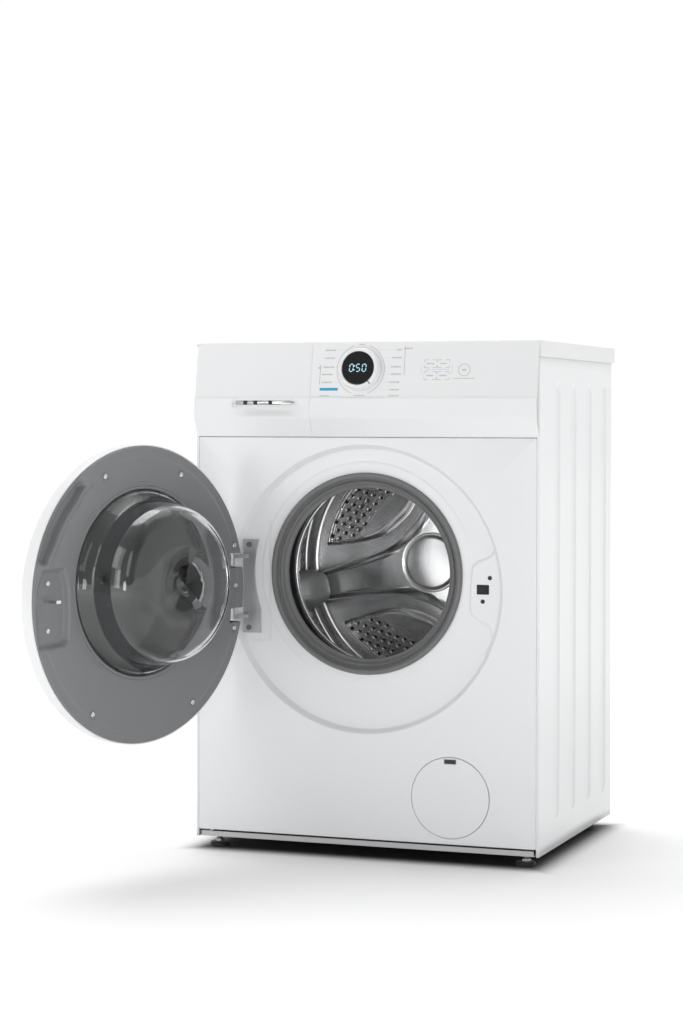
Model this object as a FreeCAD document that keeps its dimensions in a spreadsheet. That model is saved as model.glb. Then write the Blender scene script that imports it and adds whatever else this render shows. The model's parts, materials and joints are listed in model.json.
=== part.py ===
import FreeCAD, Part
import math
import os
import Sketcher
from FreeCAD import Placement, Rotation, Vector

# Front loading washing machine, door standing open. Millimetres, +X to the right seen from the front,
# the front faces -Y, +Z up, origin on the floor under the middle of the cabinet.

os.makedirs("parts", exist_ok=True)
doc = FreeCAD.newDocument("washing_machine")
sheet = doc.addObject("Spreadsheet::Sheet", "sizes")

# A text that starts with = is a formula: the porthole, the seal, the glass and the latch follow the door.
drivingSizes = {
    "doorRadius": 236,
    # cabinet
    "cabinetWidth": 598, "cabinetHeight": 850, "sideDepth": 470, "sheetSteel": 1.0,
    "worktopThickness": 27, "worktopSetback": 7, "worktopOverhang": 25, "worktopRounding": 3,
    "worktopRoom": 32,
    "sideClearFloor": 20, "frontClearFloor": 32, "returnDepth": 15, "cornerStub": 4.7, "cornerRounding": 4,
    "ribDepth": 3, "ribHalfWidth": 18.5, "ribBottom": 65, "ribTopDrop": 76, "ribFirst": 107,
    "ribPitch": 102.5,
    # base and feet
    "baseHeight": 22, "footRadius": 16, "footThickness": 8, "studRadius": 5, "footInset": 30, "footFront": 32,
    "footRear": 60,
    # control panel
    "seamDrop": 157, "lipBottomDrop": 126, "lipTopDrop": 93, "lipProud": 15, "faceProud": 12, "faceLean": 9.4,
    "plasticWall": 3, "drawerFrontWidth": 207, "fasciaEnd": 1.5, "seamGap": 1.0,
    "knobDrop": 46, "knobX": -4, "knobRadius": 36, "knobHeight": 15, "displayRadius": 27.6,
    "skirtRadius": 23.5,
    "stemRadius": 12,
    # detergent drawer
    "drawerDepth": 285, "drawerHeight": 66, "drawerWall": 2, "drawerInset": 22, "drawerTopDrop": 34,
    # door opening in the front panel
    "portholeHeight": 468, "recessHeight": 443, "recessRadius": "=doorRadius + 2.5", "recessDepth": 12,
    "portRadius": "=doorRadius - 76",
    "sealLipRadius": "=doorRadius - 96", "sealMouthRadius": "=doorRadius - 62",
    # service flap and pump
    "flapX": 149.7, "flapHeight": 107.5, "flapRadius": 65.8, "flapGap": 0.8, "flapThickness": 2.4,
    "filterRadius": 30, "filterLength": 90,
    # tub and drum
    "drumRadius": 240, "drumMouthRadius": "=doorRadius - 82", "drumFront": 100, "drumBack": 372,
    "drumSheet": 1.0,
    "armTurn": -103,
    "tubGap": 12, "tubWall": 4, "tubFront": 86, "tubSplit": 240, "tubBack": 400,
    "bearingOuter": 26, "bearingWidth": 15, "shaftRadius": 12.5, "runningGap": 0.05,
    "pulleyRadius": 150, "pulleyPlane": 434, "pulleyWidth": 12, "motorPulleyRadius": 10, "motorRadius": 55,
    "motorX": -40, "motorHeight": 146, "beltThickness": 3.5, "beltGap": 0.3,
    "springX": 200, "springFromFront": 330, "damperX": 150, "damperFromFront": 216, "sumpX": 62,
    "sumpFromFront": 110,
    "springRadius": 11, "damperRadius": 15, "damperRodRadius": 6,
    # door
    "doorOpenAngle": 110, "doorReach": "=doorRadius - 9", "hingeProud": 20, "doorSkin": 3,
    "doorFaceDepth": 2, "shellRim": 0.5, "doorThickness": 38, "glassRadius": "=doorRadius - 87.4",
    "glassRise": 19,
    "glassDepth": 91, "glassWall": 4, "hingeSpread": 53.5, "hingePinRadius": 3, "latchX": "=doorRadius - 32",
    # rear face
    "accessRadius": 170, "transitSpreadX": 205, "transitSpreadZ": 140, "transitHoleRadius": 6,
    "inletRadius": 13.2, "inletX": -200, "inletDrop": 70, "cordX": 205, "rearSheet": 1.0,
    "glandHoleRadius": 8.3, "drainHeight": 96, "drainHoleRadius": 14.5, "spigotRadius": 10.5,
    "screwHeadRadius": 4.5, "screwRadius": 2,
}

for row, (alias, value) in enumerate(drivingSizes.items(), start=1):
    sheet.set(f"A{row}", alias)
    sheet.set(f"B{row}", str(value))
    sheet.setAlias(f"B{row}", alias)
doc.recompute()


class Size:
    """A length with its value in millimetres and the sheet expression that gives it."""

    def __init__(self, text, value):
        self.text = text
        self.value = value

    def __add__(self, other):
        other = asSize(other)
        return Size(f"({self.text} + {other.text})", self.value + other.value)

    def __sub__(self, other):
        other = asSize(other)
        return Size(f"({self.text} - {other.text})", self.value - other.value)

    def __mul__(self, other):
        other = asSize(other)
        return Size(f"({self.text} * {other.text})", self.value * other.value)

    def __truediv__(self, other):
        other = asSize(other)
        return Size(f"({self.text} / {other.text})", self.value / other.value)

    def __radd__(self, other):
        return asSize(other) + self

    def __rsub__(self, other):
        return asSize(other) - self

    def __rmul__(self, other):
        return asSize(other) * self

    def __neg__(self):
        return Size(f"(0 - {self.text})", -self.value)


def asSize(number):
    return number if isinstance(number, Size) else Size(f"({number})", float(number))


def size(alias):
    return Size(f"sizes.{alias}", float(sheet.get(alias)))


def root(length):
    return Size(f"sqrt({length.text})", math.sqrt(length.value))


def tangent(angle):
    return Size(f"tan({angle.text})", math.tan(math.radians(angle.value)))


def bind(target, prop, length):
    length = asSize(length)
    target.setExpression(prop, length.text)


def place(target, base, axis=None, angle=0):
    """Puts an object at base, turned by angle about axis, and binds the numbers to the sheet."""
    spots = [asSize(part) for part in base]
    turn = asSize(angle)
    spin = Rotation(Vector(*axis), turn.value) if axis else Rotation()
    target.Placement = Placement(Vector(*[part.value for part in spots]), spin)
    for letter, part in zip("xyz", spots):
        bind(target, f"Placement.Base.{letter}", part)
    if axis and isinstance(angle, Size):
        bind(target, "Placement.Rotation.Angle", turn)


# Part primitives and booleans -------------------------------------------------------------------

def block(name, low, high):
    box = doc.addObject("Part::Box", name)
    place(box, low)
    for prop, start, end in zip(("Length", "Width", "Height"), low, high):
        bind(box, prop, asSize(end) - asSize(start))
    return box


def rod(name, base, radius, length, along="Y", sector=None, start=0):
    """A cylinder from base along +X, +Y or +Z; a sector angle makes a slice of it."""
    cylinder = doc.addObject("Part::Cylinder", name)
    bind(cylinder, "Radius", radius)
    bind(cylinder, "Height", length)
    turns = {"X": Rotation(Vector(0, 1, 0), 90), "Y": Rotation(Vector(1, 0, 0), -90), "Z": Rotation()}
    place(cylinder, base)
    cylinder.Placement = Placement(cylinder.Placement.Base, turns[along] * Rotation(Vector(0, 0, 1), start))
    if sector:
        cylinder.Angle = sector
    return cylinder


def hexagon(name, base, circumradius, length, along="Y"):
    prism = doc.addObject("Part::Prism", name)
    prism.Polygon = 6
    bind(prism, "Circumradius", circumradius)
    bind(prism, "Height", length)
    place(prism, base)
    if along == "Y":
        prism.Placement = Placement(prism.Placement.Base, Rotation(Vector(1, 0, 0), -90))
    return prism


def joined(name, pieces):
    if len(pieces) == 1:
        return pieces[0]
    fuse = doc.addObject("Part::MultiFuse", name)
    fuse.Shapes = pieces
    return fuse


def carved(name, solid, tools):
    cut = doc.addObject("Part::Cut", name)
    cut.Base = solid
    cut.Tool = joined(f"{name}_tools", tools)
    return cut


# PartDesign bodies ------------------------------------------------------------------------------

def newBody(name):
    return doc.addObject("PartDesign::Body", name)


def sketchOn(body, role, offset=0):
    """A sketch on one of the body's own origin planes, moved offset along the plane's normal."""
    sketch = body.newObject("Sketcher::SketchObject", f"{body.Name}_sketch")
    plane = next(item for item in body.Origin.OriginFeatures if item.Role == role)
    sketch.AttachmentSupport = [(plane, "")]
    sketch.MapMode = "FlatFace"
    offset = asSize(offset)
    sketch.AttachmentOffset = Placement(Vector(0, 0, offset.value), Rotation())
    bind(sketch, "AttachmentOffset.Base.z", offset)
    return sketch


def fix(sketch, kind, geometry, point, length):
    """Ties a point to the sketch origin along x or y."""
    length = asSize(length)
    if length.text in ("(0)", "(0.0)"):
        axis = -2 if kind == "DistanceX" else -1
        sketch.addConstraint(Sketcher.Constraint("PointOnObject", geometry, point, axis))
        return
    number = sketch.addConstraint(Sketcher.Constraint(kind, -1, 1, geometry, point, length.value))
    bind(sketch, f"Constraints[{number}]", length)


def drawOutline(sketch, points):
    """A closed outline of straight lines, every corner tied to the sheet."""
    corners = [(asSize(x), asSize(y)) for x, y in points]
    first = sketch.GeometryCount
    spots = [Vector(x.value, y.value, 0) for x, y in corners]
    count = len(spots)
    sketch.addGeometry([Part.LineSegment(spots[i], spots[(i + 1) % count]) for i in range(count)], False)
    for i in range(count):
        after = first + (i + 1) % count
        sketch.addConstraint(Sketcher.Constraint("Coincident", first + i, 2, after, 1))
    for i, (x, y) in enumerate(corners):
        fix(sketch, "DistanceX", first + i, 1, x)
        fix(sketch, "DistanceY", first + i, 1, y)


def drawCircle(sketch, x, y, radius):
    x, y, radius = asSize(x), asSize(y), asSize(radius)
    circle = Part.Circle(Vector(x.value, y.value, 0), Vector(0, 0, 1), radius.value)
    number = sketch.addGeometry(circle, False)
    fix(sketch, "DistanceX", number, 3, x)
    fix(sketch, "DistanceY", number, 3, y)
    bound = sketch.addConstraint(Sketcher.Constraint("Radius", number, radius.value))
    bind(sketch, f"Constraints[{bound}]", radius)


def drawSlot(sketch, x, low, high, radius):
    """An upright slot with round ends; low and high are the centres of its ends."""
    x, low, high, radius = asSize(x), asSize(low), asSize(high), asSize(radius)
    first = sketch.GeometryCount
    up, down = Vector(x.value, high.value, 0), Vector(x.value, low.value, 0)
    side = Vector(radius.value, 0, 0)
    top = Part.ArcOfCircle(Part.Circle(up, Vector(0, 0, 1), radius.value), 0, math.pi)
    bottom = Part.ArcOfCircle(Part.Circle(down, Vector(0, 0, 1), radius.value), math.pi, 2 * math.pi)
    lines = [Part.LineSegment(up - side, down - side), Part.LineSegment(down + side, up + side)]
    sketch.addGeometry([top, lines[0], bottom, lines[1]], False)
    for before, after in ((0, 1), (2, 3)):
        sketch.addConstraint(Sketcher.Constraint("Tangent", first + before, 2, first + after, 1))
    sketch.addConstraint(Sketcher.Constraint("Tangent", first + 1, 2, first + 2, 1))
    sketch.addConstraint(Sketcher.Constraint("Tangent", first + 3, 2, first, 1))
    fix(sketch, "DistanceX", first, 3, x)
    fix(sketch, "DistanceY", first, 3, high)
    fix(sketch, "DistanceY", first + 2, 3, low)
    bound = sketch.addConstraint(Sketcher.Constraint("Radius", first, radius.value))
    bind(sketch, f"Constraints[{bound}]", radius)


def rectangle(low, high):
    return [(low[0], low[1]), (high[0], low[1]), (high[0], high[1]), (low[0], high[1])]


def feature(body, kind, sketch, length, reverse=False):
    """A Pad or a Pocket of a sketch; a Pocket runs against the sketch's normal unless reversed."""
    made = body.newObject(f"PartDesign::{kind}", f"{body.Name}_{kind.lower()}")
    made.Profile = sketch
    made.Reversed = reverse
    bind(made, "Length", length)
    made.Length = asSize(length).value
    return made


def turned(name, profile, centreX=0, centreZ=0):
    """A body of revolution about Y; profile points are (y, radius)."""
    body = newBody(name)
    sketch = sketchOn(body, "YZ_Plane")
    drawOutline(sketch, profile)
    spin = body.newObject("PartDesign::Revolution", f"{name}_turn")
    spin.Profile = sketch
    spin.ReferenceAxis = (sketch, ["H_Axis"])
    spin.Angle = 360
    place(body, (centreX, 0, centreZ))
    return body


def patterned(body, feature, count):
    """Copies a feature round the body's own Y axis."""
    pattern = body.newObject("PartDesign::PolarPattern", f"{body.Name}_pattern")
    pattern.Originals = [feature]
    axis = next(item for item in body.Origin.OriginFeatures if item.Role == "Y_Axis")
    pattern.Axis = (axis, [""])
    pattern.Angle = 360
    pattern.Occurrences = count
    body.Tip = pattern
    return pattern


def rounded(body, base, radius, picks):
    """Fillets the edges of a feature whose middle lies at one of the picked places."""
    doc.recompute()
    names = []
    for number, edge in enumerate(base.Shape.Edges, start=1):
        middle = edge.CenterOfMass
        if any(all(want is None or abs(asSize(want).value - have) < 0.05
                   for want, have in zip(pick, middle)) for pick in picks):
            names.append(f"Edge{number}")
    fillet = body.newObject("PartDesign::Fillet", f"{body.Name}_fillet")
    fillet.Base = (base, names)
    fillet.Radius = asSize(radius).value
    bind(fillet, "Radius", radius)
    return fillet


nodes = []


def node(piece, label):
    piece.Label = label
    nodes.append(piece)
    return piece


# Shared places ----------------------------------------------------------------------------------

halfWidth = size("cabinetWidth") / 2
front = -(size("sideDepth") / 2)
back = size("sideDepth") / 2
steel = size("sheetSteel")
top = size("cabinetHeight")
panelTop = top - size("worktopThickness")
seam = top - size("seamDrop")
sideFoot = size("sideClearFloor")
axisZ = size("portholeHeight")
recessZ = size("recessHeight")
basePlane = size("baseHeight")


# Cabinet ----------------------------------------------------------------------------------------

def sidePanel(label, sign):
    """C-shaped steel side with a rounded front corner, returned edges and four pressed-in ribs."""
    body = newBody(label)
    stub, depth = size("cornerStub"), size("returnDepth")
    section = sketchOn(body, "XY_Plane", sideFoot)
    corners = [
        (halfWidth, back), (halfWidth, front), (halfWidth - stub, front), (halfWidth - stub, front + depth),
        (halfWidth - stub + steel, front + depth), (halfWidth - stub + steel, front + steel),
        (halfWidth - steel, front + steel), (halfWidth - steel, back - steel),
        (halfWidth - depth, back - steel), (halfWidth - depth, back),
    ]
    drawOutline(section, [(sign * x, y) for x, y in corners])
    wall = feature(body, "Pad", section, panelTop - sideFoot)
    outer = rounded(body, wall, size("cornerRounding"), [(sign * halfWidth, front, None)])
    inner = (sign * (halfWidth - steel), front + steel, None)
    rounded(body, outer, size("cornerRounding") - 2 * steel, [inner])
    ribLow = size("ribBottom") + size("ribHalfWidth")
    ribHigh = panelTop - size("ribTopDrop") + size("ribHalfWidth")
    insideFace = halfWidth - steel - size("ribDepth") if sign > 0 else -(halfWidth - steel)
    for offset, radius, kind in ((insideFace, size("ribHalfWidth") + steel, "Pad"),
                                 (sign * halfWidth, size("ribHalfWidth"), "Pocket")):
        sketch = sketchOn(body, "YZ_Plane", offset)
        for i in range(4):
            drawSlot(sketch, front + size("ribFirst") + i * size("ribPitch"), ribLow, ribHigh, radius)
        feature(body, kind, sketch, size("ribDepth"), kind == "Pocket" and sign < 0)
    return node(body, label)


sidePanel("side_panel_left", -1)
sidePanel("side_panel_right", 1)

transitX, transitZ = size("transitSpreadX"), size("transitSpreadZ")
inletZ = top - size("inletDrop")
rearHalf = halfWidth - 2
rearPanel = newBody("rear_panel")
sketch = sketchOn(rearPanel, "XZ_Plane", -(back + size("rearSheet")))
drawOutline(sketch, rectangle((-rearHalf, sideFoot), (rearHalf, panelTop)))
drawCircle(sketch, 0, axisZ, size("accessRadius"))
for signX in (-1, 1):
    for signZ in (-1, 1):
        drawCircle(sketch, signX * transitX, axisZ + signZ * transitZ, size("transitHoleRadius"))
drawCircle(sketch, size("inletX"), inletZ, size("inletRadius") + 1)
drawCircle(sketch, size("cordX"), inletZ, size("glandHoleRadius"))
drawCircle(sketch, size("cordX"), size("drainHeight"), size("drainHoleRadius"))
feature(rearPanel, "Pad", sketch, size("rearSheet"))
node(rearPanel, "rear_panel")

coverFoot = back + size("rearSheet")
cover = turned("cover_dish", [
    (coverFoot, 0), (coverFoot, size("accessRadius") + 12), (coverFoot + 1.2, size("accessRadius") + 12),
    (coverFoot + 1.2, size("accessRadius") - 10), (coverFoot + 8, size("accessRadius") - 22),
    (coverFoot + 8, 0),
], centreZ=axisZ)
coverHollow = turned("cover_hollow", [
    (coverFoot - 1, 0), (coverFoot - 1, size("accessRadius") - 12),
    (coverFoot + 1, size("accessRadius") - 14), (coverFoot + 6.8, size("accessRadius") - 24),
    (coverFoot + 6.8, 0),
], centreZ=axisZ)
node(carved("cover", cover, [coverHollow]), "rear_access_cover")

# Front panel: a shallow tray with the round door recess, the porthole, the latch slot and the flap seat.
frontHalf = halfWidth - size("cornerStub") - 0.5
frontFoot = size("frontClearFloor")
recessFloor = front + size("recessDepth")
latchX = size("latchX")
flapX, flapZ = size("flapX"), size("flapHeight")
flapSeat = size("flapRadius") + size("flapGap")
panel = newBody("front_panel")
trayDepth = size("returnDepth") - 3
sketch = sketchOn(panel, "XZ_Plane", -(front + trayDepth))
drawOutline(sketch, rectangle((-frontHalf, frontFoot), (frontHalf, seam - size("seamGap"))))
feature(panel, "Pad", sketch, trayDepth)
sketch = sketchOn(panel, "XZ_Plane", -(front + trayDepth))
drawOutline(sketch, rectangle((-frontHalf + steel, frontFoot + steel),
                              (frontHalf - steel, seam - size("seamGap") - steel)))
feature(panel, "Pocket", sketch, trayDepth - steel, True)
for x, z, radius, depth in ((0, recessZ, size("recessRadius"), size("recessDepth")),
                            (flapX, flapZ, flapSeat, 4)):
    sketch = sketchOn(panel, "XZ_Plane", -(front + depth + steel))
    drawCircle(sketch, x, z, radius + steel)
    feature(panel, "Pad", sketch, depth)
    sketch = sketchOn(panel, "XZ_Plane", -front)
    drawCircle(sketch, x, z, radius)
    feature(panel, "Pocket", sketch, depth)
sketch = sketchOn(panel, "XZ_Plane", -front)
drawCircle(sketch, 0, axisZ, size("portRadius"))
drawCircle(sketch, flapX, flapZ, 48)
drawOutline(sketch, rectangle((latchX - 12, recessZ - 7.5), (latchX + 8, recessZ + 7.5)))
feature(panel, "Pocket", sketch, size("recessDepth") + 2 * steel)
node(panel, "front_panel")

worktop = newBody("worktop_slab")
sketch = sketchOn(worktop, "XY_Plane", panelTop)
drawOutline(sketch, rectangle((-halfWidth, front + size("worktopSetback")),
                              (halfWidth, back + size("worktopOverhang"))))
slab = feature(worktop, "Pad", sketch, size("worktopThickness"))
edgeMiddle = (front + size("worktopSetback") + back + size("worktopOverhang")) / 2
rounded(worktop, slab, size("worktopRounding"), [
    (halfWidth, edgeMiddle, top), (-halfWidth, edgeMiddle, top), (0, back + size("worktopOverhang"), top),
])
room = block("panel_room", (-(halfWidth - 4), front, panelTop - 1),
             (halfWidth - 4, front + size("worktopRoom"), top - 5))
node(carved("worktop_cut", worktop, [room]), "worktop")

# Base plate with a grey front rail, feet and their lock nuts.
plate = block("plate", (-(halfWidth - 8), front + 2, basePlane - 1.5), (halfWidth - 8, back - 2, basePlane))
rail = block("rail", (-(halfWidth - 9), front + 2, basePlane - 1.5),
             (halfWidth - 9, front + 3.5, basePlane + 7))
footX = halfWidth - size("footInset")
footSpots = {
    "front_left": (-footX, front + size("footFront")), "front_right": (footX, front + size("footFront")),
    "rear_left": (-footX, back - size("footRear")), "rear_right": (footX, back - size("footRear")),
}
studGap = size("studRadius") + 0.5
footHoles = [rod(f"foot_hole_{corner}", (x, y, basePlane - 5), studGap, 10, "Z")
             for corner, (x, y) in footSpots.items()]
node(carved("base", joined("base_shell", [plate, rail]), footHoles), "base_plate")
for corner, (x, y) in footSpots.items():
    pad = rod(f"foot_pad_{corner}", (x, y, 0), size("footRadius"), size("footThickness"), "Z")
    stud = rod(f"foot_stud_{corner}", (x, y, size("footThickness")), size("studRadius"), 38, "Z")
    collar = hexagon(f"foot_hex_{corner}", (x, y, size("footThickness")), 8, 5, "Z")
    node(joined(f"foot_{corner}_all", [pad, stud, collar]), f"foot_{corner}")
lockNuts = []
for corner, (x, y) in footSpots.items():
    nut = hexagon(f"nut_{corner}", (x, y, basePlane + 0.2), 9, 5, "Z")
    lockNuts.append(carved(f"nut_cut_{corner}", nut, [
        rod(f"nut_bore_{corner}", (x, y, basePlane), size("studRadius") + size("runningGap"), 8, "Z")]))
node(joined("nuts", lockNuts), "foot_lock_nuts")

crossbar = block("bar", (-(halfWidth - steel), front + 320, panelTop - 17),
                 (halfWidth - steel, front + 340, panelTop - 5))
node(crossbar, "top_crossbar")


# Control panel: a lip, a face that leans back above it and a band that slopes in below it.

wall = size("plasticWall")
lipLow, lipHigh = top - size("lipBottomDrop"), top - size("lipTopDrop")
faceTop = top - 2
lean = tangent(size("faceLean"))
faceFoot = lipHigh + 2
faceBase = front - size("faceProud")


def panelSection(thickness):
    """The outline of the control panel in (y, z): the outside, then back along the inside."""
    topY = faceBase + lean * (faceTop - faceFoot)
    lipY = front - size("lipProud")
    return [
        (front - 0.3, seam), (lipY, lipLow), (lipY, lipHigh), (faceBase, faceFoot), (topY, faceTop),
        (topY + thickness, faceTop), (faceBase + thickness, faceFoot), (lipY + thickness, lipHigh - 1),
        (lipY + thickness, lipLow + 1), (front + thickness - 0.3, seam),
    ]


def endSection():
    """The end cap, which stays in front of the side panel's front edge."""
    outside = panelSection(wall)[:5]
    topY = outside[4][0]
    return outside + [(topY, panelTop + 0.5), (front - 0.3, panelTop + 0.5)]


def panelPiece(name, left, right):
    """The control panel's section from left to right, with a cap 3.6 mm thick at each end."""
    body = newBody(name)
    cap = wall + 0.6
    shellLeft, shellRight = left + wall + 0.4, right - wall - 0.4
    for start, length, section in ((shellLeft, shellRight - shellLeft, panelSection(wall)),
                                   (left, cap, endSection()), (right - cap, cap, endSection())):
        sketch = sketchOn(body, "YZ_Plane", start)
        drawOutline(sketch, section)
        feature(body, "Pad", sketch, length)
    return body


panelLeft, panelRight = -(halfWidth - size("fasciaEnd")), halfWidth - size("fasciaEnd")
drawerSeam = panelLeft + size("drawerFrontWidth")
knobZ = top - size("knobDrop")
knobY = faceBase + lean * (knobZ - faceFoot)
leanBack = dict(axis=(-1, 0, 0), angle=size("faceLean"))


def onFace(piece):
    """Puts a piece modelled about Y square to the leaning face, centred on the knob."""
    place(piece, (size("knobX"), knobY, knobZ), **leanBack)
    return piece


fascia = panelPiece("fascia_shell", drawerSeam + size("seamGap"), panelRight)
holeR = size("skirtRadius") + 0.7
knobHole = onFace(turned("knob_hole", [(-15, 0), (-15, holeR), (15, holeR), (15, 0)]))
node(carved("fascia", fascia, [knobHole]), "control_fascia")

knobR, displayR, skirtR = size("knobRadius"), size("displayRadius"), size("skirtRadius")
knob = turned("knob_ring", [
    (-1, knobR), (-size("knobHeight"), knobR - 4), (-size("knobHeight"), displayR + 0.4), (-11,
    displayR + 0.4),
    (-11, skirtR - 3.5), (12, skirtR - 3.5), (12, skirtR), (-7, skirtR), (-7, knobR - 3), (-1, knobR - 2.5),
])
node(onFace(knob), "programme_knob")
display = turned("display", [
    (-size("knobHeight") + 0.2, 0), (-size("knobHeight") + 0.2, displayR), (-11.3, displayR),
    (-11.3, size("stemRadius")), (14, size("stemRadius")), (14, 0),
])
node(onFace(display), "display_window")

board = newBody("board")
sketch = sketchOn(board, "XZ_Plane", -16)
drawOutline(sketch, rectangle((-64, -28), (206, 24)))
feature(board, "Pad", sketch, 1.6)
sketch = sketchOn(board, "XZ_Plane", -14.4)
for x, z, w in ((60, -14, 22), (104, -2, 30), (158, -10, 26)):
    drawOutline(sketch, rectangle((x, z), (x + w, z + 16)))
feature(board, "Pad", sketch, 4)
encoder = turned("encoder", [(13, skirtR - 3), (13, skirtR + 7), (14.6, skirtR + 7), (14.6, skirtR - 3)])
node(onFace(joined("board_all", [board, encoder])), "control_board")


# Detergent drawer: housing fixed in the cabinet, tray, front and grip strip sliding in it.

drawerTop = top - size("drawerTopDrop")
drawerLow = drawerTop - size("drawerHeight")
drawerLeft, drawerRight = panelLeft + size("drawerInset"), drawerSeam - 12
thin = size("drawerWall")
trayFront = front + 6
trayBack = trayFront + size("drawerDepth")
housing = block("housing_outer", (drawerLeft - 4, front + 5, drawerLow - 4),
                (drawerRight + 4, trayBack + 8, drawerTop + 4))
housingHollow = block("housing_hollow", (drawerLeft - 2, front + 4, drawerLow - 2),
                      (drawerRight + 2, trayBack + 6, drawerTop + 2))
node(carved("housing", housing, [housingHollow]), "drawer_housing")
tray = block("tray_outer", (drawerLeft, trayFront, drawerLow), (drawerRight, trayBack, drawerTop - 6))
third = (drawerRight - drawerLeft - 4 * thin) / 3
wells = []
for i in range(3):
    wellLeft = drawerLeft + thin + i * (third + thin)
    wells.append(block(f"well_{i}", (wellLeft, trayFront + 14, drawerLow + thin),
                       (wellLeft + third, trayBack - thin, drawerTop)))
node(carved("tray", tray, wells), "detergent_drawer")
capLeft = drawerLeft + 2 * thin + third + 1
siphon = block("siphon_plate", (capLeft, trayBack - 90, drawerTop - 12),
               (capLeft + third - 2, trayBack - 6, drawerTop - 9))
siphonTube = rod("siphon_tube", (capLeft + third / 2, trayBack - 40, drawerLow + 6), 7,
                 drawerTop - drawerLow - 16, "Z")
node(joined("siphon", [siphon, siphonTube]), "siphon_cap")
drawerFace = panelPiece("drawer_face", panelLeft, drawerSeam)
gripLeft, gripRight = panelLeft + 62, drawerSeam - 18
finger = newBody("finger_scoop")
sketch = sketchOn(finger, "YZ_Plane", gripLeft)
drawOutline(sketch, [(front - 40, lipHigh - 22), (front - 40, lipHigh + 1.5), (front - 12.5, lipHigh + 1.5),
                     (front - 12.5, lipHigh - 4), (front - 15.5, lipHigh - 22)])
feature(finger, "Pad", sketch, gripRight - gripLeft)
link = block("drawer_link", (drawerLeft + 6, front - 9, drawerLow + 4),
             (drawerRight - 6, trayFront, drawerTop - 14))
node(joined("drawer_front_all", [carved("drawer_scooped", drawerFace, [finger]), link]), "drawer_front")
node(block("strip", (gripLeft + 4, front - 13.9, lipHigh - 3.5), (gripRight - 12, front - 12.6, lipHigh + 1)),
     "handle_strip")


# Rear fittings ----------------------------------------------------------------------------------

valveBlock = block("valve_block", (size("inletX") - 18, back - 52, inletZ - 18),
                   (size("inletX") + 18, back - 1.2, inletZ + 18))
valveThread = rod("valve_thread", (size("inletX"), back - 1.2, inletZ), size("inletRadius"), 18.2, "Y")
valveBore = rod("valve_bore", (size("inletX"), back + 3, inletZ), 8, 20, "Y")
node(carved("valve", joined("valve_solid", [valveBlock, valveThread]), [valveBore]), "inlet_valve")
gland = turned("gland", [
    (back - 4, 4.5), (back - 4, 10), (back - 0.2, 10), (back - 0.2, 8), (back + 1.2, 8), (back + 1.2, 11),
    (back + 5, 11), (back + 12, 7.5), (back + 12, 4.5),
], centreX=size("cordX"), centreZ=inletZ)
node(gland, "cord_gland")
spigotR = size("spigotRadius")
spigot = turned("spigot", [
    (back - 30, 8), (back - 30, 12), (back - 0.2, 12), (back - 0.2, 17), (back + 0, 17), (back + 0, 14),
    (back + 1, 14), (back + 1, 17), (back + 4, 17), (back + 4, spigotR), (back + 22, spigotR), (back + 22, 8),
], centreX=size("cordX"), centreZ=size("drainHeight"))
node(spigot, "drain_spigot")


# Seal, tub and everything hung with it ----------------------------------------------------------

port, lip, mouth = size("portRadius"), size("sealLipRadius"), size("sealMouthRadius")
floorY = recessFloor
tubFrontY = front + size("tubFront")
sealProfile = [
    (floorY - 7, port + 4), (floorY - 0.1, port + 6), (floorY - 0.1, port - 0.3), (floorY + steel + 0.1,
                                                                                   port - 0.3),
    (floorY + steel + 0.1, port + 5), (floorY + 6, port + 5), (floorY + 6, port + 0.5),
    (tubFrontY - 28, port + 0.5), (tubFrontY - 20, mouth + 4), (tubFrontY - 1, mouth + 4),
    (tubFrontY - 1, mouth + 0.4), (tubFrontY - 16, mouth + 0.4), (tubFrontY - 25, port - 3),
    (floorY + 14, port - 3), (floorY + 14, lip), (floorY + 10.5, lip), (floorY + 10.5, lip + 10),
    (floorY, port - 7), (floorY - 7, port - 6),
]
node(turned("seal", sealProfile, centreZ=axisZ), "door_seal")

drumR, mouthR = size("drumRadius"), size("drumMouthRadius")
tubIn = drumR + size("tubGap")
tubOut = tubIn + size("tubWall")
tubWall = size("tubWall")
split = front + size("tubSplit")
tubBackY = front + size("tubBack")
flange = tubOut + 6
tubFrontShell = turned("tub_front_shell", [
    (tubFrontY - 10, mouth - 2), (tubFrontY - 10, mouth), (tubFrontY, mouth), (tubFrontY, tubOut),
    (split - 4, tubOut), (split - 4, flange), (split, flange), (split, tubIn), (tubFrontY + tubWall, tubIn),
    (tubFrontY + tubWall, mouth - 2),
], centreZ=axisZ)


def lugAt(name, x, y, towards):
    """A lug that stands on the tub above (+1) or below (-1) the point x, clear of the drum."""
    near = abs(asSize(x).value) - 8
    nearX = asSize(x) - 8 if asSize(x).value > 0 else asSize(x) + 8
    rise = root(tubIn * tubIn - nearX * nearX) + 1
    low, high = (axisZ + rise, axisZ + rise + 18) if towards > 0 else (axisZ - rise - 18, axisZ - rise)
    return block(name, (asSize(x) - 8, y - 8, low), (asSize(x) + 8, y + 8, high)), low, high


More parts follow.
